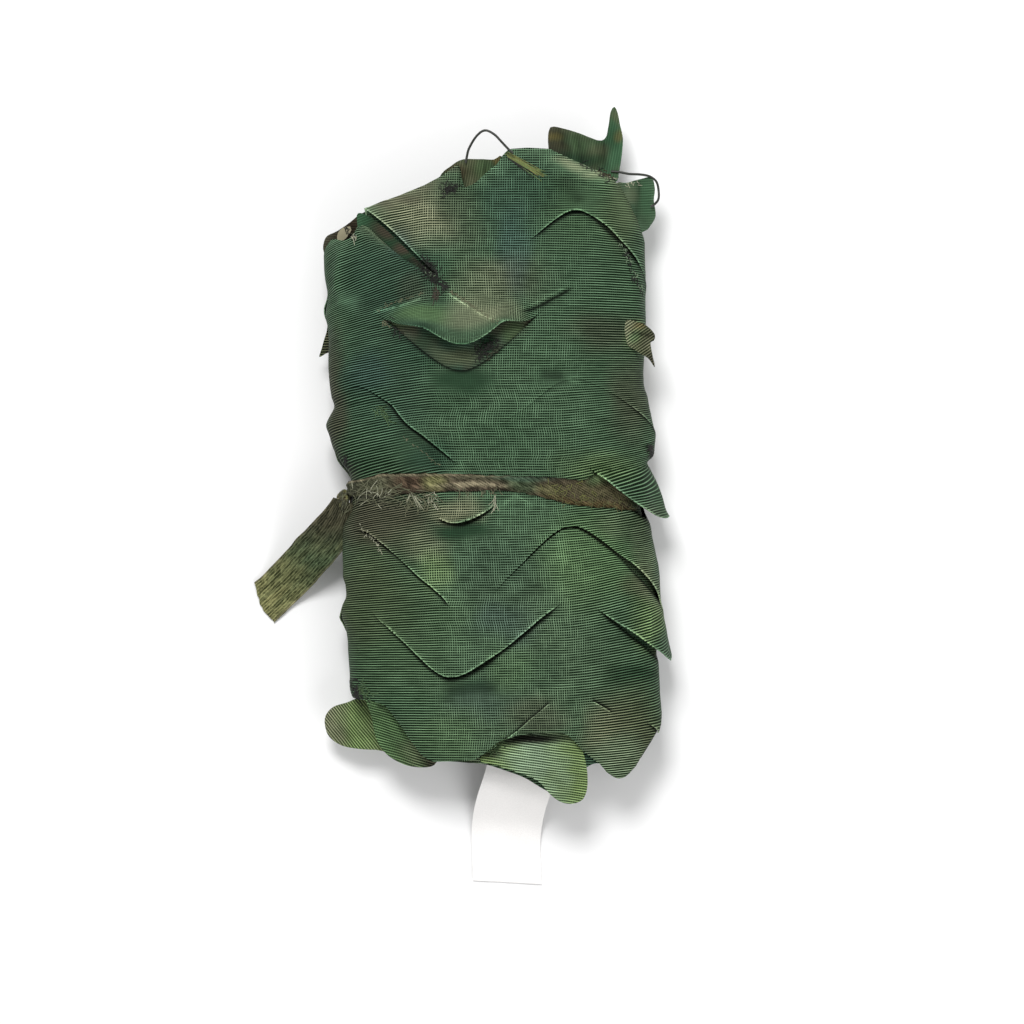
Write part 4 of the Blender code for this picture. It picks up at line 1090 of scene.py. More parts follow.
def weave_level(tree, uv, threads_show, crisp, sizes, fuzz):
    """Height in the weave at a place: 0 in a gap and about 1 on a crest."""
    flat = add_node(tree, "SeparateXYZ", {0: uv})
    across, along = flat.outputs[0], flat.outputs[1]
    drift = add_node(tree, "TexNoise", {"Vector": uv, "Scale": lumps(DRIFT_SIZE), "Detail": 2.0})
    wobble = add_node(tree, "Math", {0: drift, 1: YARN_WANDER, 2: -0.5 * YARN_WANDER},
                      operation="MULTIPLY_ADD")
    turns = add_node(tree, "TexNoise", {"Vector": uv, "Scale": lumps(SPOT_SIZE), "Detail": 1.0})
    turn = add_node(tree, "MapRange", {0: turns, 1: 0.4, 2: 0.6, 3: THREADS_SHOW[0], 4: THREADS_SHOW[1]})
    shown = add_node(tree, "Math", {0: threads_show, 1: turn}, operation="MULTIPLY")
    threads = yarns(tree, across, along, sizes.thread_pitch, sizes.crest_sharpness, wobble)
    threads = add_node(tree, "Math", {0: threads, 1: shown}, operation="MULTIPLY")
    under = add_node(tree, "Math", {0: shown, 1: -RIBS_UNDER, 2: 1.0}, operation="MULTIPLY_ADD")
    ribs = yarns(tree, along, across, sizes.rib_pitch, sizes.crest_sharpness, wobble)
    ribs = add_node(tree, "Math", {0: ribs, 1: under}, operation="MULTIPLY")
    pattern = add_node(tree, "Math", {0: ribs, 1: threads}, operation="MAXIMUM")
    # Where the cloth is worn smooth, both gap and crest draw near to their mean
    swing = add_node(tree, "Math", {0: pattern, 1: MEAN_LEVEL}, operation="SUBTRACT")
    level = add_node(tree, "Math", {0: swing, 1: crisp, 2: MEAN_LEVEL}, operation="MULTIPLY_ADD")
    if fuzz:
        # Where a torn strip's weave is lost, matted fibres show instead
        drawn = add_node(tree, "VectorMath", {0: uv, 1: FIBRE_STRETCH}, operation="MULTIPLY")
        fibres = add_node(tree, "TexNoise", {
            "Vector": drawn, "Scale": lumps(FIBRE_SIZE), "Detail": 4.0, "Roughness": 0.7, "Distortion": 1.2})
        fibre = add_node(tree, "MapRange", {0: fibres, 1: 0.42, 2: 0.66, 3: -0.1, 4: fuzz})
        lost = add_node(tree, "Math", {0: 1.0, 1: crisp}, operation="SUBTRACT")
        level = add_node(tree, "Math", {0: lost, 1: fibre, 2: level}, operation="MULTIPLY_ADD")
    return level


def woven_material(name, sizes, contrast, roughness, bump, fuzz=0.0):
    """Plain-woven filament polyester: crisp ribs with a painted sheen on their crests, and dark gaps of
    painted shade between raised threads.
    """
    material, tree, output = new_material(name)
    uv = add_node(tree, "UVMap", uv_map=WEAVE_UV)
    tint = add_node(tree, "VertexColor", layer_name=TINT)
    crisp, wear_and_highlight, shaded = (add_node(tree, "Attribute", attribute_name=attribute).outputs["Fac"]
                           for attribute in (CRISP, WEAR_AND_HIGHLIGHT, SHADED))
    level = weave_level(tree, uv, tint.outputs["Alpha"], crisp, sizes, fuzz)
    # A worn, raised edge is a bright broken line, partly bare yarn and partly painted highlight, and an edge
    # under another a dark line of painted shade
    highlight_breaks = add_node(tree, "TexNoise", {"Vector": uv, "Scale": lumps(HIGHLIGHT_BREAK_SIZE), "Detail": 1.0})
    highlight_break = add_node(tree, "MapRange", {0: highlight_breaks, 1: 0.38, 2: 0.62, 3: 0.0, 4: EDGE_HIGHLIGHT_GAIN})
    wear_and_highlight = add_node(tree, "MapRange", {0: wear_and_highlight, 1: 0.72, 2: 0.95, 3: 0.0, 4: 1.0})
    shaded = add_node(tree, "MapRange", {0: shaded, 1: 0.5, 2: 0.9, 3: 1.0, 4: SHADED_SHADE})
    level = add_node(tree, "Math", {0: wear_and_highlight, 1: highlight_break, 2: level}, operation="MULTIPLY_ADD")
    level = add_node(tree, "Math", {0: level, 1: LEVEL_MOST}, operation="MINIMUM")
    # The dye, with painted shade in the gaps and a painted highlight on the crests
    gap_shade = [blend(1.0, shade, contrast) for shade in GAP_SHADE]
    gap = add_node(tree, "Mix", {0: 1.0, 6: tint, 7: (*gap_shade, 1.0)}, data_type="RGBA",
                   blend_type="MULTIPLY")
    pale = 1.0 + CREST_HIGHLIGHT_GAIN * contrast
    crest = add_node(tree, "Mix", {0: 1.0, 6: tint, 7: (pale, pale, pale, 1.0)}, data_type="RGBA",
                     blend_type="MULTIPLY")
    crest = add_node(tree, "HueSaturation", {"Saturation": CREST_SATURATION, "Color": crest.outputs[2]})
    woven = add_node(tree, "Mix", {0: level, 6: gap.outputs[2], 7: crest}, data_type="RGBA",
                     clamp_factor=False)
    # Uneven dyeing, and the painted shade of an edge under another
    blotch = add_node(tree, "TexNoise", {
        "Vector": uv, "Scale": lumps(BLOTCH_SIZE), "Detail": 5.0, "Roughness": 0.6})
    shade = add_node(tree, "MapRange", {0: blotch, 1: 0.3, 2: 0.7, 3: 0.61, 4: 0.78})
    shade = add_node(tree, "Math", {0: shade, 1: shaded}, operation="MULTIPLY")
    final = add_node(tree, "VectorMath", {0: woven.outputs[2], 3: shade}, operation="SCALE")
    relief = add_node(tree, "Bump", {"Height": level, "Strength": bump, "Distance": WEAVE_DEPTH * MM})
    shader = add_node(tree, "BsdfPrincipled", {
        "Base Color": final, "Roughness": roughness, "Normal": relief, "Specular IOR Level": 0.05})
    tree.links.new(shader.outputs[0], output.inputs[0])
    return material


def plain_material(name, colour, roughness, grain, grain_size, sheen=0.0):
    """A plain surface with a fine grain in its colour and its relief."""
    material, tree, output = new_material(name)
    place = add_node(tree, "TexCoord").outputs["Object"]
    speck = add_node(tree, "TexNoise", {"Vector": place, "Scale": lumps(grain_size), "Detail": 3.0})
    shade = add_node(tree, "MapRange", {0: speck, 1: 0.3, 2: 0.7, 3: 1.0 - grain, 4: 1.0 + grain})
    tinted = add_node(tree, "VectorMath", {0: colour, 3: shade}, operation="SCALE")
    relief = add_node(tree, "Bump", {"Height": speck, "Strength": 0.3, "Distance": GRAIN_DEPTH * MM})
    shader = add_node(tree, "BsdfPrincipled", {
        "Base Color": tinted, "Roughness": roughness, "Normal": relief, "Sheen Weight": sheen})
    tree.links.new(shader.outputs[0], output.inputs[0])
    return material


def netting_material(context):
    """The leaf-cut cloth's material, made once."""
    # Woven polyester, dyed and cut: ribs with a painted highlight over gaps in painted dark green shade, with
    # hardly a real gloss
    name = "woven_polyester_leaf_cloth"
    return bpy.data.materials.get(name) or woven_material(
        name, context.scene.netting_sizes, contrast=0.95, roughness=0.6, bump=0.5)


def strap_material(sizes):
    """The tie's material."""
    # A torn strip of the same cloth, drawn tight: its weave half lost in fuzz, dull all over
    return woven_material("torn_strap_cloth", sizes, contrast=0.9, roughness=0.7, bump=0.7, fuzz=0.9)


# ------------ settings

def length_setting(name, description, millimetres):
    return FloatProperty(name=name, description=description, default=millimetres * MM, unit="LENGTH",
                         precision=5)


def colour_setting(name, description, hex_colour):
    return FloatVectorProperty(name=name, description=description, subtype="COLOR", size=3, min=0.0, max=1.0,
                               default=linear(hex_colour))


class NettingSizes(bpy.types.PropertyGroup):
    """Sizes of the cloth and its weave."""

    cloth_thickness: length_setting("Cloth", "Thickness of the netting's cloth", 0.45)
    # Both drawn a little coarse, so that they show
    rib_pitch: length_setting("Ribs", "Distance between the crosswise ribs", 1.24)
    thread_pitch: length_setting("Threads", "Distance between the lengthwise threads", 1.14)
    crest_sharpness: FloatProperty(
        name="Crests", description="How narrow the crests of the yarns are", default=7.0, min=1.0)
    turns: IntProperty(name="Inner turns", description="Turns wound behind the outermost", default=8, min=1)


class NettingColours(bpy.types.PropertyGroup):
    """Dyes of the cloth and colours of the fittings."""

    green: colour_setting("Green", "Ground colour of the cloth", "#395039")
    teal: colour_setting("Teal", "Blue-green blotches", "#2a4233")
    leaf: colour_setting("Leaf green", "Fresh green blotches", "#455f39")
    lime: colour_setting("Yellow-green", "Brightest blotches", "#5f7340")
    olive: colour_setting("Olive", "Dull olive blotches", "#494d35")
    brown: colour_setting("Brown", "Grey-brown blotches", "#403e30")
    sage: colour_setting("Sage", "Pale faded cloth", "#66684f")
    deep: colour_setting("Deep green", "Shaded and darkest cloth", "#18321e")
    strap_brown: colour_setting("Strap brown", "Brown stretches of the tie", "#372f24")
    strap_tan: colour_setting("Strap tan", "Worn pale stretches of the tie", "#68604a")
    strap_olive: colour_setting("Strap olive", "Olive stretches of the tie", "#5a5934")
    strap_green: colour_setting("Strap green", "Green stretches of the tie", "#33432c")
    strap_grey: colour_setting("Strap grey", "Grey stretches of the tie", "#3d3e2d")
    scrap: colour_setting("Scrap", "Faded scrap of cloth", "#8f866c")
    slate: colour_setting("Slate", "Blue-grey blotches", "#2b4044")
    pale: colour_setting("Pale green", "Palest leaves", "#6f8467")
    fresh: colour_setting("Fresh green", "Brightest shaded green", "#2f5236")
    gold: colour_setting("Gold", "Yellow-brown blotches", "#5b4c22")
    rust: colour_setting("Rust", "Red-brown blotches", "#452f20")
    label_white: colour_setting("Label", "The label's satin", "#f3f1ef")
    cord_dark: colour_setting("Cord", "The edge cord", "#1f221a")
    thread_pale: colour_setting("Pale threads", "Undyed frayed threads", "#a9aa92")
    thread_gold: colour_setting("Gold threads", "Yellow-green frayed threads", "#6c6e3a")
    dark_thread_and_shadow: colour_setting("Dark threads", "Darkest frayed threads", "#14150f")


# ------------ stage

class NETTING_OT_stage(bpy.types.Operator):
    """Make the camera above the roll, the floor and the soft studio light"""

    bl_idname = "netting.stage"
    bl_label = "Stage"

    def execute(self, context):
        scene = context.scene
        lens = bpy.data.cameras.new("camera")
        lens.sensor_width = SENSOR_WIDTH
        lens.lens = SENSOR_WIDTH * CAMERA_ABOVE / VIEW_WIDTH
        lens.clip_end = CLIP_END
        camera = bpy.data.objects.new("camera", lens)
        camera.location = (VIEW_CENTRE[0] * MM, VIEW_CENTRE[1] * MM, (CAMERA_ABOVE + VIEW_LEVEL) * MM)
        scene.collection.objects.link(camera)
        scene.camera = camera
        bm = bmesh.new()
        bmesh.ops.create_grid(bm, x_segments=1, y_segments=1, size=FLOOR_REACH)
        mesh = bpy.data.meshes.new("floor")
        bm.to_mesh(mesh)
        bm.free()
        floor = bpy.data.objects.new("floor", mesh)
        scene.collection.objects.link(floor)
        # Matt white paper: an even ground without a gloss
        mesh.materials.append(plain_material(
            "matt_paper_floor", linear("#f4f4f4"), roughness=0.9, grain=0.0, grain_size=100.0))
        for name, x, y, z, size, power in LIGHTS:
            lamp = bpy.data.lights.new(name, "AREA")
            lamp.size = size
            lamp.energy = power
            light = bpy.data.objects.new(name, lamp)
            light.location = (x, y, z)
            light.rotation_euler = Vector((x, y, z)).to_track_quat("Z", "Y").to_euler()
            scene.collection.objects.link(light)
        world = bpy.data.worlds.new("studio")
        scene.world = world
        world.use_nodes = True
        sky = world.node_tree.nodes["Background"]
        sky.inputs["Color"].default_value = (1.0, 1.0, 1.0, 1.0)
        sky.inputs["Strength"].default_value = SKY_STRENGTH
        scene.view_settings.view_transform = "Standard"
        return {"FINISHED"}


# ------------ cords

class NETTING_OT_edge_cords(bpy.types.Operator):
    """Make the two loops of cord that run out of the netting's hem"""

    bl_idname = "netting.edge_cords"
    bl_label = "Edge cords"

    def execute(self, context):
        colours = context.scene.netting_colours
        # Waxed polyester cord: a soft, slightly greasy black-brown line
        material = plain_material("waxed_polyester_cord", colours.cord_dark, roughness=0.5, grain=0.35,
                                  grain_size=1.111)
        for name, route in CORDS.items():
            line = smooth_line(route, 4)
            curve = bpy.data.curves.new(name, "CURVE")
            curve.dimensions = "3D"
            curve.bevel_depth = CORD_RADIUS * MM
            curve.bevel_resolution = 3
            curve.use_fill_caps = True
            spline = curve.splines.new("POLY")
            spline.points.add(len(line) - 1)
            for place, point in zip(spline.points, line):
                place.co = (*(point * MM), 1.0)
            curve.materials.append(material)
            cord = bpy.data.objects.new(name + "_line", curve)
            context.scene.collection.objects.link(cord)
            length = sum((b - a).length for a, b in zip(line, line[1:])) * MM
            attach(cord, "root")
            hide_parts(name)
        return {"FINISHED"}


# ------------ the outermost turn

class NETTING_OT_outer_turn(bpy.types.Operator):
    """Lay the outermost turn of leaf-cut cloth round the roll, its cuts and tongues open"""

    bl_idname = "netting.outer_turn"
    bl_label = "Outer turn"

    def execute(self, context):
        sizes, colours = context.scene.netting_sizes, context.scene.netting_colours
        cuts = make_cuts()
        start, stop = -0.5 * GIRTH - LAP, 0.5 * GIRTH
        count = round((stop - start) / CUT_STEP)
        across = [blend(start, stop, k / count) for k in range(count + 1)]
        stray, size = RAGGED
        top = [Vector((g, rim(g, 1) + stray * wander((g, 0), size))) for g in across]
        bottom = [Vector((g, rim(g, -1) + stray * wander((g, 9), size))) for g in across]
        rows = round((top[0].y - bottom[0].y) / CUT_STEP)
        right = [bottom[-1].lerp(top[-1], k / rows) for k in range(1, rows)]
        left = [top[0].lerp(bottom[0], k / rows) for k in range(1, rows)]
        outline = bottom + right + top[::-1] + left

        def spacing(g):
            return SHEET_STEP if SHEET_FINE[0] < g < SHEET_FINE[1] else SHEET_STEP_BACK

        def inside(place, margin):
            return rim(place.x, -1) + margin < place.y < rim(place.x, 1) - margin

        creases = [Crease((distance_at(x0, y0), y0), (distance_at(x1, y1), y1), *rest)
                   for x0, y0, x1, y1, *rest in CREASES]
        folds = [crease.line() for crease in creases if crease.width < SHARP_WIDTH]
        bm = cut_sheet(outline, spacing, inside, cuts, folds)

        def place_point(flat, side):
            rise, y, light, wear_and_highlight, shaded = swell(flat), flat.y, 0.0, 0.0, 0.0
            for cut in cuts:
                lifted, shifted, pale, marks = cut.move(flat, side)
                rise += lifted
                y += shifted
                light += pale
                wear_and_highlight, shaded = max(wear_and_highlight, marks[0]), max(shaded, marks[1])
            rise, light, wear_and_highlight, shaded = crumple(creases, flat, rise, light, wear_and_highlight, shaded)
            under = ease((start + LAP + 0.5 * LAP_EASE - flat.x) / LAP_EASE)
            droop = end_droop(flat)
            # Painted highlight where the cloth turns down over the roll's ends
            light += RIM_HIGHLIGHT * droop / DROOP_TOP[0]
            point = skin(flat.x, y, rise + OUTER_CLEAR - droop, depth=LAP_DEPTH * under)
            if abs(flat.x) < UPPER_SHARE * GIRTH:
                colour = lay_patches(Vector(colours.green), (point.x, flat.y), PATCHES, colours)
            else:
                colour = general_dye(flat, colours)
            # Painted light and shade from the cut edges, creases and turned-down ends
            colour = colour * max(1.0 + light, LIGHT_MIN)
            threads = thread_show(flat)
            crisp = crispness(point)
            crisp *= 1.0 - SIDE_SMOOTH * math.exp(-((abs(flat.x) - SIDE_AT) / SIDE_REACH) ** 2)
            weave = (flat.x, flat.y - rib_shift(flat.x, flat.y))
            return point, weave, (*colour, threads), crisp, (wear_and_highlight, shaded)

        piece = lay_cloth("netting_outer_turn", bm, place_point, sizes.cloth_thickness,
                          netting_material(context))
        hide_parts("netting_roll")
        return {"FINISHED"}


def swell(flat):
    """Height of the outer turn's soft lumps at a place."""
    return sum(height * wander(flat, size, seed) for height, size, seed in SWELLS)


def end_droop(flat):
    """How far the outer cloth turns down at the roll's ends."""
    above = max(0.0, 1.0 - (rim(flat.x, 1) - flat.y) / DROOP_TOP[1])
    below = max(0.0, 1.0 - (flat.y - rim(flat.x, -1)) / DROOP_BOTTOM[1])
    return DROOP_TOP[0] * above ** 2 + DROOP_BOTTOM[0] * below ** 2


def thread_show(flat):
    """How far the lengthwise threads show: from 0.1 at the sides to 1 over the crown."""
    return 0.1 + 0.9 * ease((50.0 - abs(flat.x - 5.0)) / 28.0 + 0.5 * wander(flat, 20, 4.9))


class NETTING_OT_inner_turns(bpy.types.Operator):
    """Wind the inner turns of cloth, which show at the ends and through the cuts"""

    bl_idname = "netting.inner_turns"
    bl_label = "Inner turns"

    def execute(self, context):
        sizes, colours = context.scene.netting_sizes, context.scene.netting_colours
        start = -0.5 * GIRTH - LAP
        length = sizes.turns * GIRTH
        columns = round(length / TURN_STEP)
        rows = [*[(1, row) for row in TURN_ENDS], *[(0, row) for row in TURN_WAIST],
                *[(-1, row) for row in reversed(TURN_ENDS)]]
        bm = bmesh.new()
        bmesh.ops.create_grid(bm, x_segments=columns, y_segments=len(rows) - 1, size=0.5)
        bmesh.ops.translate(bm, vec=(-0.5, 0.5, 0.0), verts=bm.verts)

        def place_point(flat, _):
            wound = -flat.x * sizes.turns
            depth = TURN_FIRST + TURN_PITCH * wound + TURN_LOOSE * wound * wound
            distance = start + flat.x * length
            end, row = rows[min(round(flat.y * (len(rows) - 1)), len(rows) - 1)]
            recess = TURN_RECESS + TURN_UNEVEN * abs(wander((distance, 40.0 * end), 17, 0.7))
            recess += TURN_SPIRAL * math.sin(2.0 * math.pi * wound) ** 2
            y = rim(distance, end, min(depth, TURN_RIM)) - end * (recess + row) if end else row
            sag = 0.5 * wander((distance, y), 14, 6.6)
            point = skin(distance, y, sag, depth)
            # Painted shade: lying inside the roll, their dye is drawn towards the deep green
            shade = general_dye((distance, y), colours).lerp(Vector(colours.deep), TURN_SHADE)
            return point, (distance, y), (*shade, 0.6), 0.8

        piece = lay_cloth("netting_inner_turns", bm, place_point, sizes.cloth_thickness,
                          netting_material(context))
        return {"FINISHED"}


# ------------ flaps

def anchored_height(anchors, place):
    """Height of a flap at a place: its anchors' heights, weighed by nearness."""
    total = weight_sum = 0.0
    for x, y, z in anchors:
        weight = 1.0 / (ANCHOR_NEAR + (x - place.x) ** 2 + (y - place.y) ** 2) ** ANCHOR_POWER
        total += weight * z
        weight_sum += weight
    return total / weight_sum


class NETTING_OT_flaps(bpy.types.Operator):
    """Lay the flaps, lobes and loose leaves that stand out past the outermost turn"""

    bl_idname = "netting.flaps"
    bl_label = "Flaps"

    def execute(self, context):
        for flap in FLAPS:
            outline = smooth_loop(flap["outline"], FLAP_STEP)
            piece = self.make_flap(context, flap, outline)
            wide = max(point.x for point in outline) - min(point.x for point in outline)
            tall = max(point.y for point in outline) - min(point.y for point in outline)
            if min(wide, tall) < SCRAP_SIZE:
                continue
            plan = 0.5 * abs(sum(a.cross(b) for a, b in zip(outline, outline[1:] + outline[:1]))) * MM * MM
        return {"FINISHED"}

    def make_flap(self, context, flap, outline):
        """One flap as a sheet of cloth over its anchors."""
        sizes, colours = context.scene.netting_sizes, context.scene.netting_colours
        low = min(point.x for point in outline)
        high = max(point.x for point in outline)
        slant = math.radians(flap["ribs"])
        dyes = [Vector(getattr(colours, name)) for name in flap["colours"]]
        creases = [Crease(row[:2], row[2:4], *row[4:]) for row in flap.get("creases", ())]

        def spacing(_):
            return FLAP_STEP

        def inside(place, _):
            return point_in(outline, place)

        def place_point(flat, _):
            z = anchored_height(flap["anchors"], flat) + 0.5 * wander(flat, 9, 8.8)
            z, light, wear_and_highlight, shaded = crumple(creases, flat, z)
            if flap.get("on_roll"):
                distance = distance_at(flat.x, flat.y)
                z = over(flat.x, flat.y, z + swell((distance, flat.y))).z
            share = 2.0 * (flat.x - low) / (high - low) + 0.5 * wander(flat, 8, 3.0)
            share = min(max(share, 0.0), 1.999)
            colour = dyes[int(share)].lerp(dyes[int(share) + 1], ease(share % 1.0))
            # Painted light and shade from its creases
            colour = lay_patches(colour, flat, flap.get("patches", ()), colours) * max(light, LIGHT_MIN)
            weave = (flat.x * math.cos(slant) + flat.y * math.sin(slant),
                     flat.y * math.cos(slant) - flat.x * math.sin(slant))
            return (Vector((flat.x, flat.y, z)), weave, (*colour, FLAP_THREADS), flap.get("crisp", 1.0),
                    (wear_and_highlight, shaded))

        bm = cut_sheet(outline, spacing, inside)
        return lay_cloth(flap["name"], bm, place_point, sizes.cloth_thickness, netting_material(context))


# ------------ tie

class NETTING_OT_tie(bpy.types.Operator):
    """Draw the strap round the roll's waist, with its knot and its free end"""

    bl_idname = "netting.tie"
    bl_label = "Tie"

    def execute(self, context):
        sizes, colours = context.scene.netting_sizes, context.scene.netting_colours
        material = strap_material(sizes)
        band = self.make_band(sizes, colours, material)
        knot = self.make_knot(colours, material)
        tail = self.make_tail(sizes, colours, material)
        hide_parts("tie")
        return {"FINISHED"}

    def make_band(self, sizes, colours, material):
        """The strap round the waist: two smooth folds at the left, fine gathers at the right."""
        lower, upper = Profile(TIE_EDGES, 1), Profile(TIE_EDGES, 2)
        bm = bmesh.new()
        bmesh.ops.create_grid(bm, x_segments=round(GIRTH / TIE_STEP), y_segments=TIE_ROWS, size=0.5)

        def place_point(flat, _):
            distance = GIRTH * flat.x
            side = 2.0 * flat.y
            above = abs(distance) < TIE_UPPER_SHARE * GIRTH
            x = skin_point(distance, WAIST_Y).x
            low, high = (lower(x), upper(x)) if above else TIE_BACK
            ragged = 0.8 * wander((distance, 20.0 * side), 4.0, 1.1) * abs(side) ** 3
            y = blend(low, high, 0.5 * side + 0.5) + ragged
            lengthwise = side + 0.3 * wander((distance, 0), 22)
            gathered = ease((x - TIE_GATHERED[0]) / (TIE_GATHERED[1] - TIE_GATHERED[0])) if above else 0.3
            out = self.band_rise(distance, side, lengthwise, gathered)
            out -= TIE_DIP * ease((x - TIE_UNDER[0]) / (TIE_UNDER[1] - TIE_UNDER[0])) if above else 0.0
            colour = self.band_colour(colours, distance, x, side, lengthwise, above)
            weave = (distance - 0.4 * y, y + 0.55 * distance)
            return skin(distance, y, out), weave, (*colour, 0.8), 0.35 + 0.3 * gathered

        return lay_cloth("tie_band", bm, place_point, sizes.cloth_thickness, material)

    def band_rise(self, distance, side, lengthwise, gathered):
        """How far the strap stands off the roll, with its folds, gathers and crumples."""
        fold = sum(height * math.exp(-((lengthwise - at) / reach) ** 2) for at, reach, height in TIE_FOLDS)
        phase = 2.0 * math.pi * (distance / TIE_GATHER_PITCH + 0.8 * side)
        phase += 3.0 * wander((distance, 9.0 * side), 7.0, 0.4)
        lumpy = 0.5 * wander((distance, 5.0 * side), 5.0, 4.4)
        lumpy += 0.3 * wander((distance, 9.0 * side), 2.2, 1.4)
        return (TIE_CLEAR + fold * (1.0 - 0.5 * gathered) + 0.7 * (1.0 - side ** 4) + lumpy
                + TIE_GATHER_HEIGHT * gathered * math.sin(phase))

    def band_colour(self, colours, distance, x, side, lengthwise, above):
        """Brown with its stretches of other colours, in painted shade along its edges where they turn in, and
        tan along its upper edge, partly wear and partly painted highlight.
        """
        colour = Vector(colours.strap_brown)
        for at_x, at_side, reach_x, reach_side, name, strength in TIE_TONES:
            away = math.hypot((x - at_x) / reach_x, (lengthwise - at_side) / reach_side)
            share = strength * (1.0 - ease(away - 0.3)) * above
            colour = colour.lerp(Vector(getattr(colours, name)), share)
        colour *= 0.87 + 0.45 * wander((distance, 12.0 * side), 4.0, 2.7)
        # Painted shade along both edges, and a tan upper edge that is partly wear and partly painted
        # highlight
        colour *= 1.0 - TIE_EDGE_SHADE * ease((abs(side) - 0.8) / 0.2) * above
        lit_worn_edge = ease((side - 0.72) / 0.1) * ease((0.95 - side) / 0.06) * ease((26.0 - x) / 12.0) * above
        return colour.lerp(Vector(colours.strap_tan), 0.6 * lit_worn_edge)

    def make_knot(self, colours, material):
        """A small tight knot, its turns only hinted at."""
        bm = bmesh.new()
        bmesh.ops.create_icosphere(bm, subdivisions=5, radius=1.0)
        tint_layer = bm.verts.layers.float_color.new(TINT)
        crisp_layer = bm.verts.layers.float.new(CRISP)
        for vert in bm.verts:
            vert[crisp_layer] = 0.6
            turn = math.atan2(vert.co.z, vert.co.y)
            swirl = 0.07 * math.sin(4.0 * turn + 3.0 * vert.co.x)
            swirl += 0.22 * wander(vert.co * 10.0, 4.0, vert.co.z)
            point = vert.co * (1.0 + swirl)
            tone = min(max(0.5 + 5.0 * swirl, 0.0), 1.0)
            vert[tint_layer] = (*Vector(colours.strap_brown).lerp(Vector(colours.strap_olive), tone), 1.0)
            vert.co = (Vector([point[k] * KNOT_SIZE[k] for k in range(3)]) + Vector(KNOT)) * MM
        uv_layer = bm.loops.layers.uv.new(WEAVE_UV)
        for face in bm.faces:
            face.smooth = True
            for loop in face.loops:
                loop[uv_layer].uv = (loop.vert.co.z + loop.vert.co.x, loop.vert.co.y)
        mesh = bpy.data.meshes.new("tie_knot")
        bm.to_mesh(mesh)
        bm.free()
        return add_piece("tie_knot", mesh, material)

    def make_tail(self, sizes, colours, material):
        """The free end, pleated at the knot and nearly flat where it is cut off."""
        line = smooth_line([row[:3] for row in TAIL_ROUTE], 6)
        halves = smooth_line([(row[3], 0, 0) for row in TAIL_ROUTE], 6)
        bm = bmesh.new()
        bmesh.ops.create_grid(bm, x_segments=24, y_segments=len(line) - 1, size=0.5)
        tones = Profile(((0.0, 0.0), (0.2, 0.1), (0.45, 0.15), (0.7, 0.6), (1.0, 1.0)))

        def place_point(flat, _):
            share = flat.y + 0.5
            step = round(share * (len(line) - 1))
            before, after = line[max(step - 1, 0)], line[min(step + 1, len(line) - 1)]
            along = (after - before).normalized()
            across = along.cross(UP).normalized()
            up = across.cross(along).normalized()
            side = 2.0 * flat.x
            half = halves[step].x + 0.4 * wander((30.0 * share, 9.0 * side), 2.5, 3.3)
            pleat = math.sin(2.0 * math.pi * (2.4 * side + 0.8 * share)) * (0.7 + 0.3 * wander(flat * 20, 4))
            rise = 0.55 * pleat * (1.0 - 0.5 * share) + 1.2 * (1.0 - side * side) * (1.0 - share)
            point = line[step] + across * side * half + up * rise
            cut = -3.4 * side + 1.0 * math.cos(3.0 * side) + 0.8 * wander((9.0 * side, 1), 2)
            point += along * cut * ease((share - 0.8) / 0.2)
            point.z = max(point.z, 0.6)
            tone = tones(share) + 0.3 * wander((30 * side, 60 * share), 9.0, 6.1)
            colour = Vector(colours.strap_green).lerp(Vector(colours.strap_olive), min(max(tone, 0.0), 1.0))
            colour = colour.lerp(Vector(colours.strap_brown), ease((0.55 - share + 0.1 * side) / 0.4) * 0.75)
            colour = colour.lerp(Vector(colours.strap_tan), 0.5 * ease((abs(side) - 0.88) / 0.1))
            colour *= blend(0.78, 0.94, share)
            return point, (share * 85.0, side * 10.0), (*colour, 0.3), 0.50

        return lay_cloth("tie_tail", bm, place_point, sizes.cloth_thickness, material)


# ------------ label

class NETTING_OT_label(bpy.types.Operator):
    """Lay the blank sewn-in label out of the roll's lower end and down to the surface"""

    bl_idname = "netting.label"
    bl_label = "Label"

    def execute(self, context):
        colours = context.scene.netting_colours
        # Satin-woven polyester: smooth and cool white, with a soft broad gloss
        material = plain_material("satin_label_cloth", colours.label_white, roughness=0.45, grain=0.03,
                                  grain_size=0.6667, sheen=0.1)
        line = smooth_line(LABEL_ROUTE, 5)
        bm = bmesh.new()
        bmesh.ops.create_grid(bm, x_segments=20, y_segments=len(line) - 1, size=0.5)

        def place_point(flat, _):
            share = flat.y + 0.5
            step = round(share * (len(line) - 1))
            side = 2.0 * flat.x
            point = line[step] + Vector((0.5 * LABEL_WIDTH * side, 0.0, 0.0))
            point.y -= 2.4 * side * ease(share / 0.4) * (1.0 - 0.6 * ease((share - 0.6) / 0.4))
            point.z += 0.5 * wander((point.x, point.y), 12, 1.9)
            point.z = max(point.z, 0.5)
            return point, (flat.x, flat.y), (1.0, 1.0, 1.0, 1.0), 1.0

        piece = lay_cloth("label_blank", bm, place_point, LABEL_THICK * MM, material)
        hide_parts("label")
        return {"FINISHED"}


# ------------ frayed threads

def surface_below(context, place):
    """Height of the topmost surface at a place."""
    start = Vector((place.x, place.y, FRAY_LOOK)) * MM
    hit, found, *_ = context.scene.ray_cast(context.evaluated_depsgraph_get(), start, -UP)
    return found.z / MM if hit else 0.0


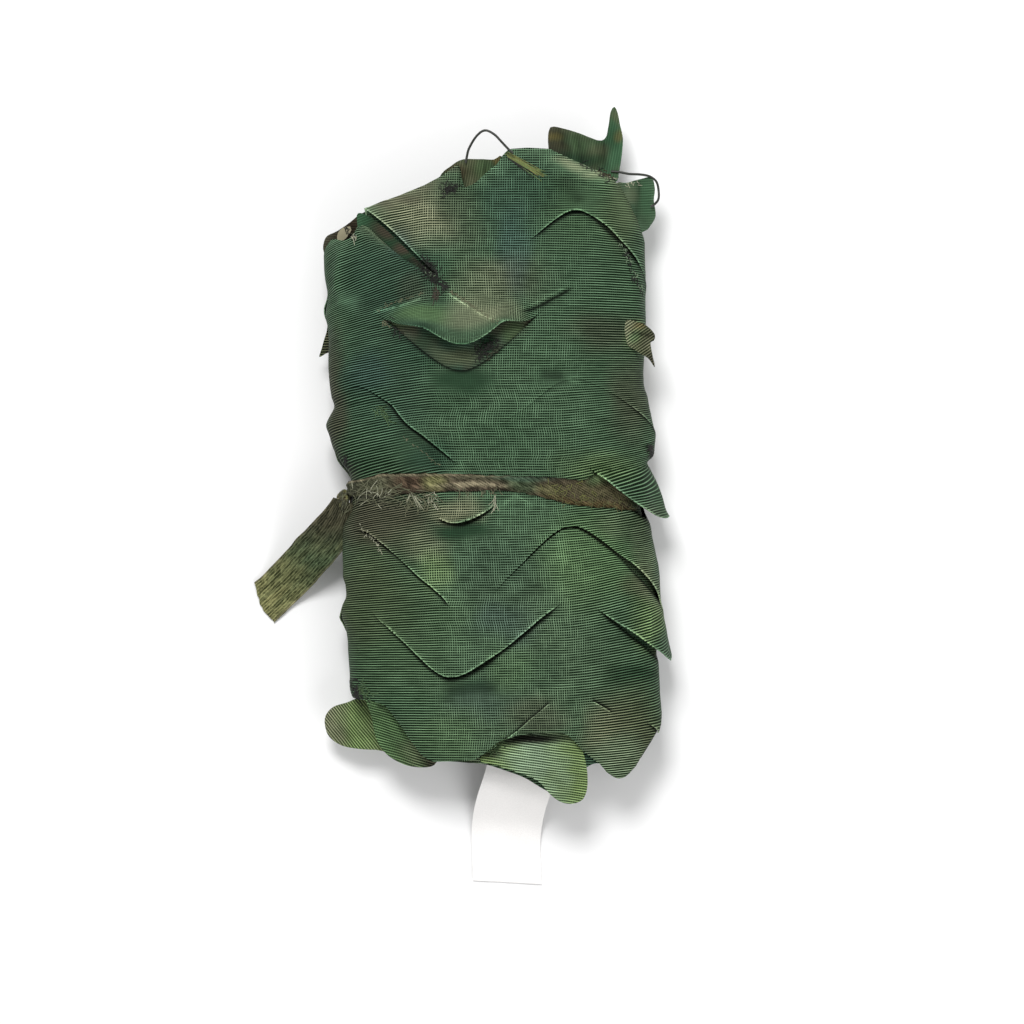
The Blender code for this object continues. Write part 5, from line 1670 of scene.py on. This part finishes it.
class NETTING_OT_frays(bpy.types.Operator):
    """Lay loose threads at the torn edges, on whatever is beneath them"""

    bl_idname = "netting.frays"
    bl_label = "Frayed threads"

    def execute(self, context):
        colours = context.scene.netting_colours
        chance = random.Random(7)
        by_colour = {}
        for x0, y0, x1, y1, scatter, count, length, heading, spread, curl, rise, name in FRAYS:
            for _ in range(count):
                place = Vector((x0, y0)).lerp(Vector((x1, y1)), chance.random())
                place += Vector((chance.gauss(0, scatter), chance.gauss(0, scatter)))
                turn = math.radians(chance.gauss(heading, spread))
                bend = math.radians(chance.gauss(0, curl)) / length
                step = length * chance.uniform(*FRAY_LENGTHS) / FRAY_STEPS
                top = rise * chance.uniform(*FRAY_RISES)
                line = []
                for index in range(FRAY_STEPS + 1):
                    ground = surface_below(context, place)
                    if ground < FRAY_FLOOR or line and abs(ground - line[-1].z) > FRAY_DROP:
                        break
                    lift = FRAY_RADIUS + top * math.sin(math.pi * index / FRAY_STEPS)
                    line.append(Vector((place.x, place.y, ground + lift)))
                    place = place + Vector((math.cos(turn), math.sin(turn))) * step
                    turn += bend * step
                if len(line) > 2:
                    by_colour.setdefault(name, []).append(line)
        for name, lines in by_colour.items():
            self.make_threads(context, name, lines, getattr(colours, name))
        return {"FINISHED"}

    def make_threads(self, context, name, lines, colour):
        """All loose threads of one colour, as one mesh."""
        curve = bpy.data.curves.new("frays_" + name, "CURVE")
        curve.dimensions = "3D"
        curve.bevel_depth = FRAY_RADIUS * MM
        curve.bevel_resolution = 1
        for line in lines:
            spline = curve.splines.new("POLY")
            spline.points.add(len(line) - 1)
            for place, point in zip(spline.points, line):
                place.co = (*(point * MM), 1.0)
        blank = bpy.data.objects.new("frays_blank", curve)
        context.scene.collection.objects.link(blank)
        mesh = bpy.data.meshes.new_from_object(blank.evaluated_get(context.evaluated_depsgraph_get()))
        bpy.data.objects.remove(blank)
        bpy.data.curves.remove(curve)
        # Loose polyester filament: matt, with a faint fuzz
        material = plain_material("frayed_filament_" + name, colour, roughness=0.8, grain=0.3,
                                  grain_size=0.5, sheen=0.03)
        add_piece("frays_" + name, mesh, material)


# ------------ panel and run

STEPS = (NETTING_OT_stage, NETTING_OT_edge_cords, NETTING_OT_outer_turn, NETTING_OT_inner_turns,
         NETTING_OT_flaps, NETTING_OT_tie, NETTING_OT_label, NETTING_OT_frays)


class NETTING_PT_panel(bpy.types.Panel):
    """Sidebar panel with the netting's sizes, colours and building steps"""

    bl_idname = "NETTING_PT_panel"
    bl_label = "Rolled netting"
    bl_space_type = "VIEW_3D"
    bl_region_type = "UI"
    bl_category = "Netting"

    def draw(self, context):
        for group in (context.scene.netting_sizes, context.scene.netting_colours):
            for name in group.bl_rna.properties.keys():
                if name not in ("rna_type", "name"):
                    self.layout.prop(group, name)
        for step in STEPS:
            self.layout.operator(step.bl_idname)


CLASSES = (NettingSizes, NettingColours, *STEPS, NETTING_PT_panel)


def register():
    for item in CLASSES:
        bpy.utils.register_class(item)
    bpy.types.Scene.netting_sizes = PointerProperty(type=NettingSizes)
    bpy.types.Scene.netting_colours = PointerProperty(type=NettingColours)


def unregister():
    del bpy.types.Scene.netting_sizes
    del bpy.types.Scene.netting_colours
    for item in reversed(CLASSES):
        bpy.utils.unregister_class(item)


def main():
    register()
    for step in STEPS:
        group, name = step.bl_idname.split(".")
        getattr(getattr(bpy.ops, group), name)()


if __name__ == "__main__":
    main()
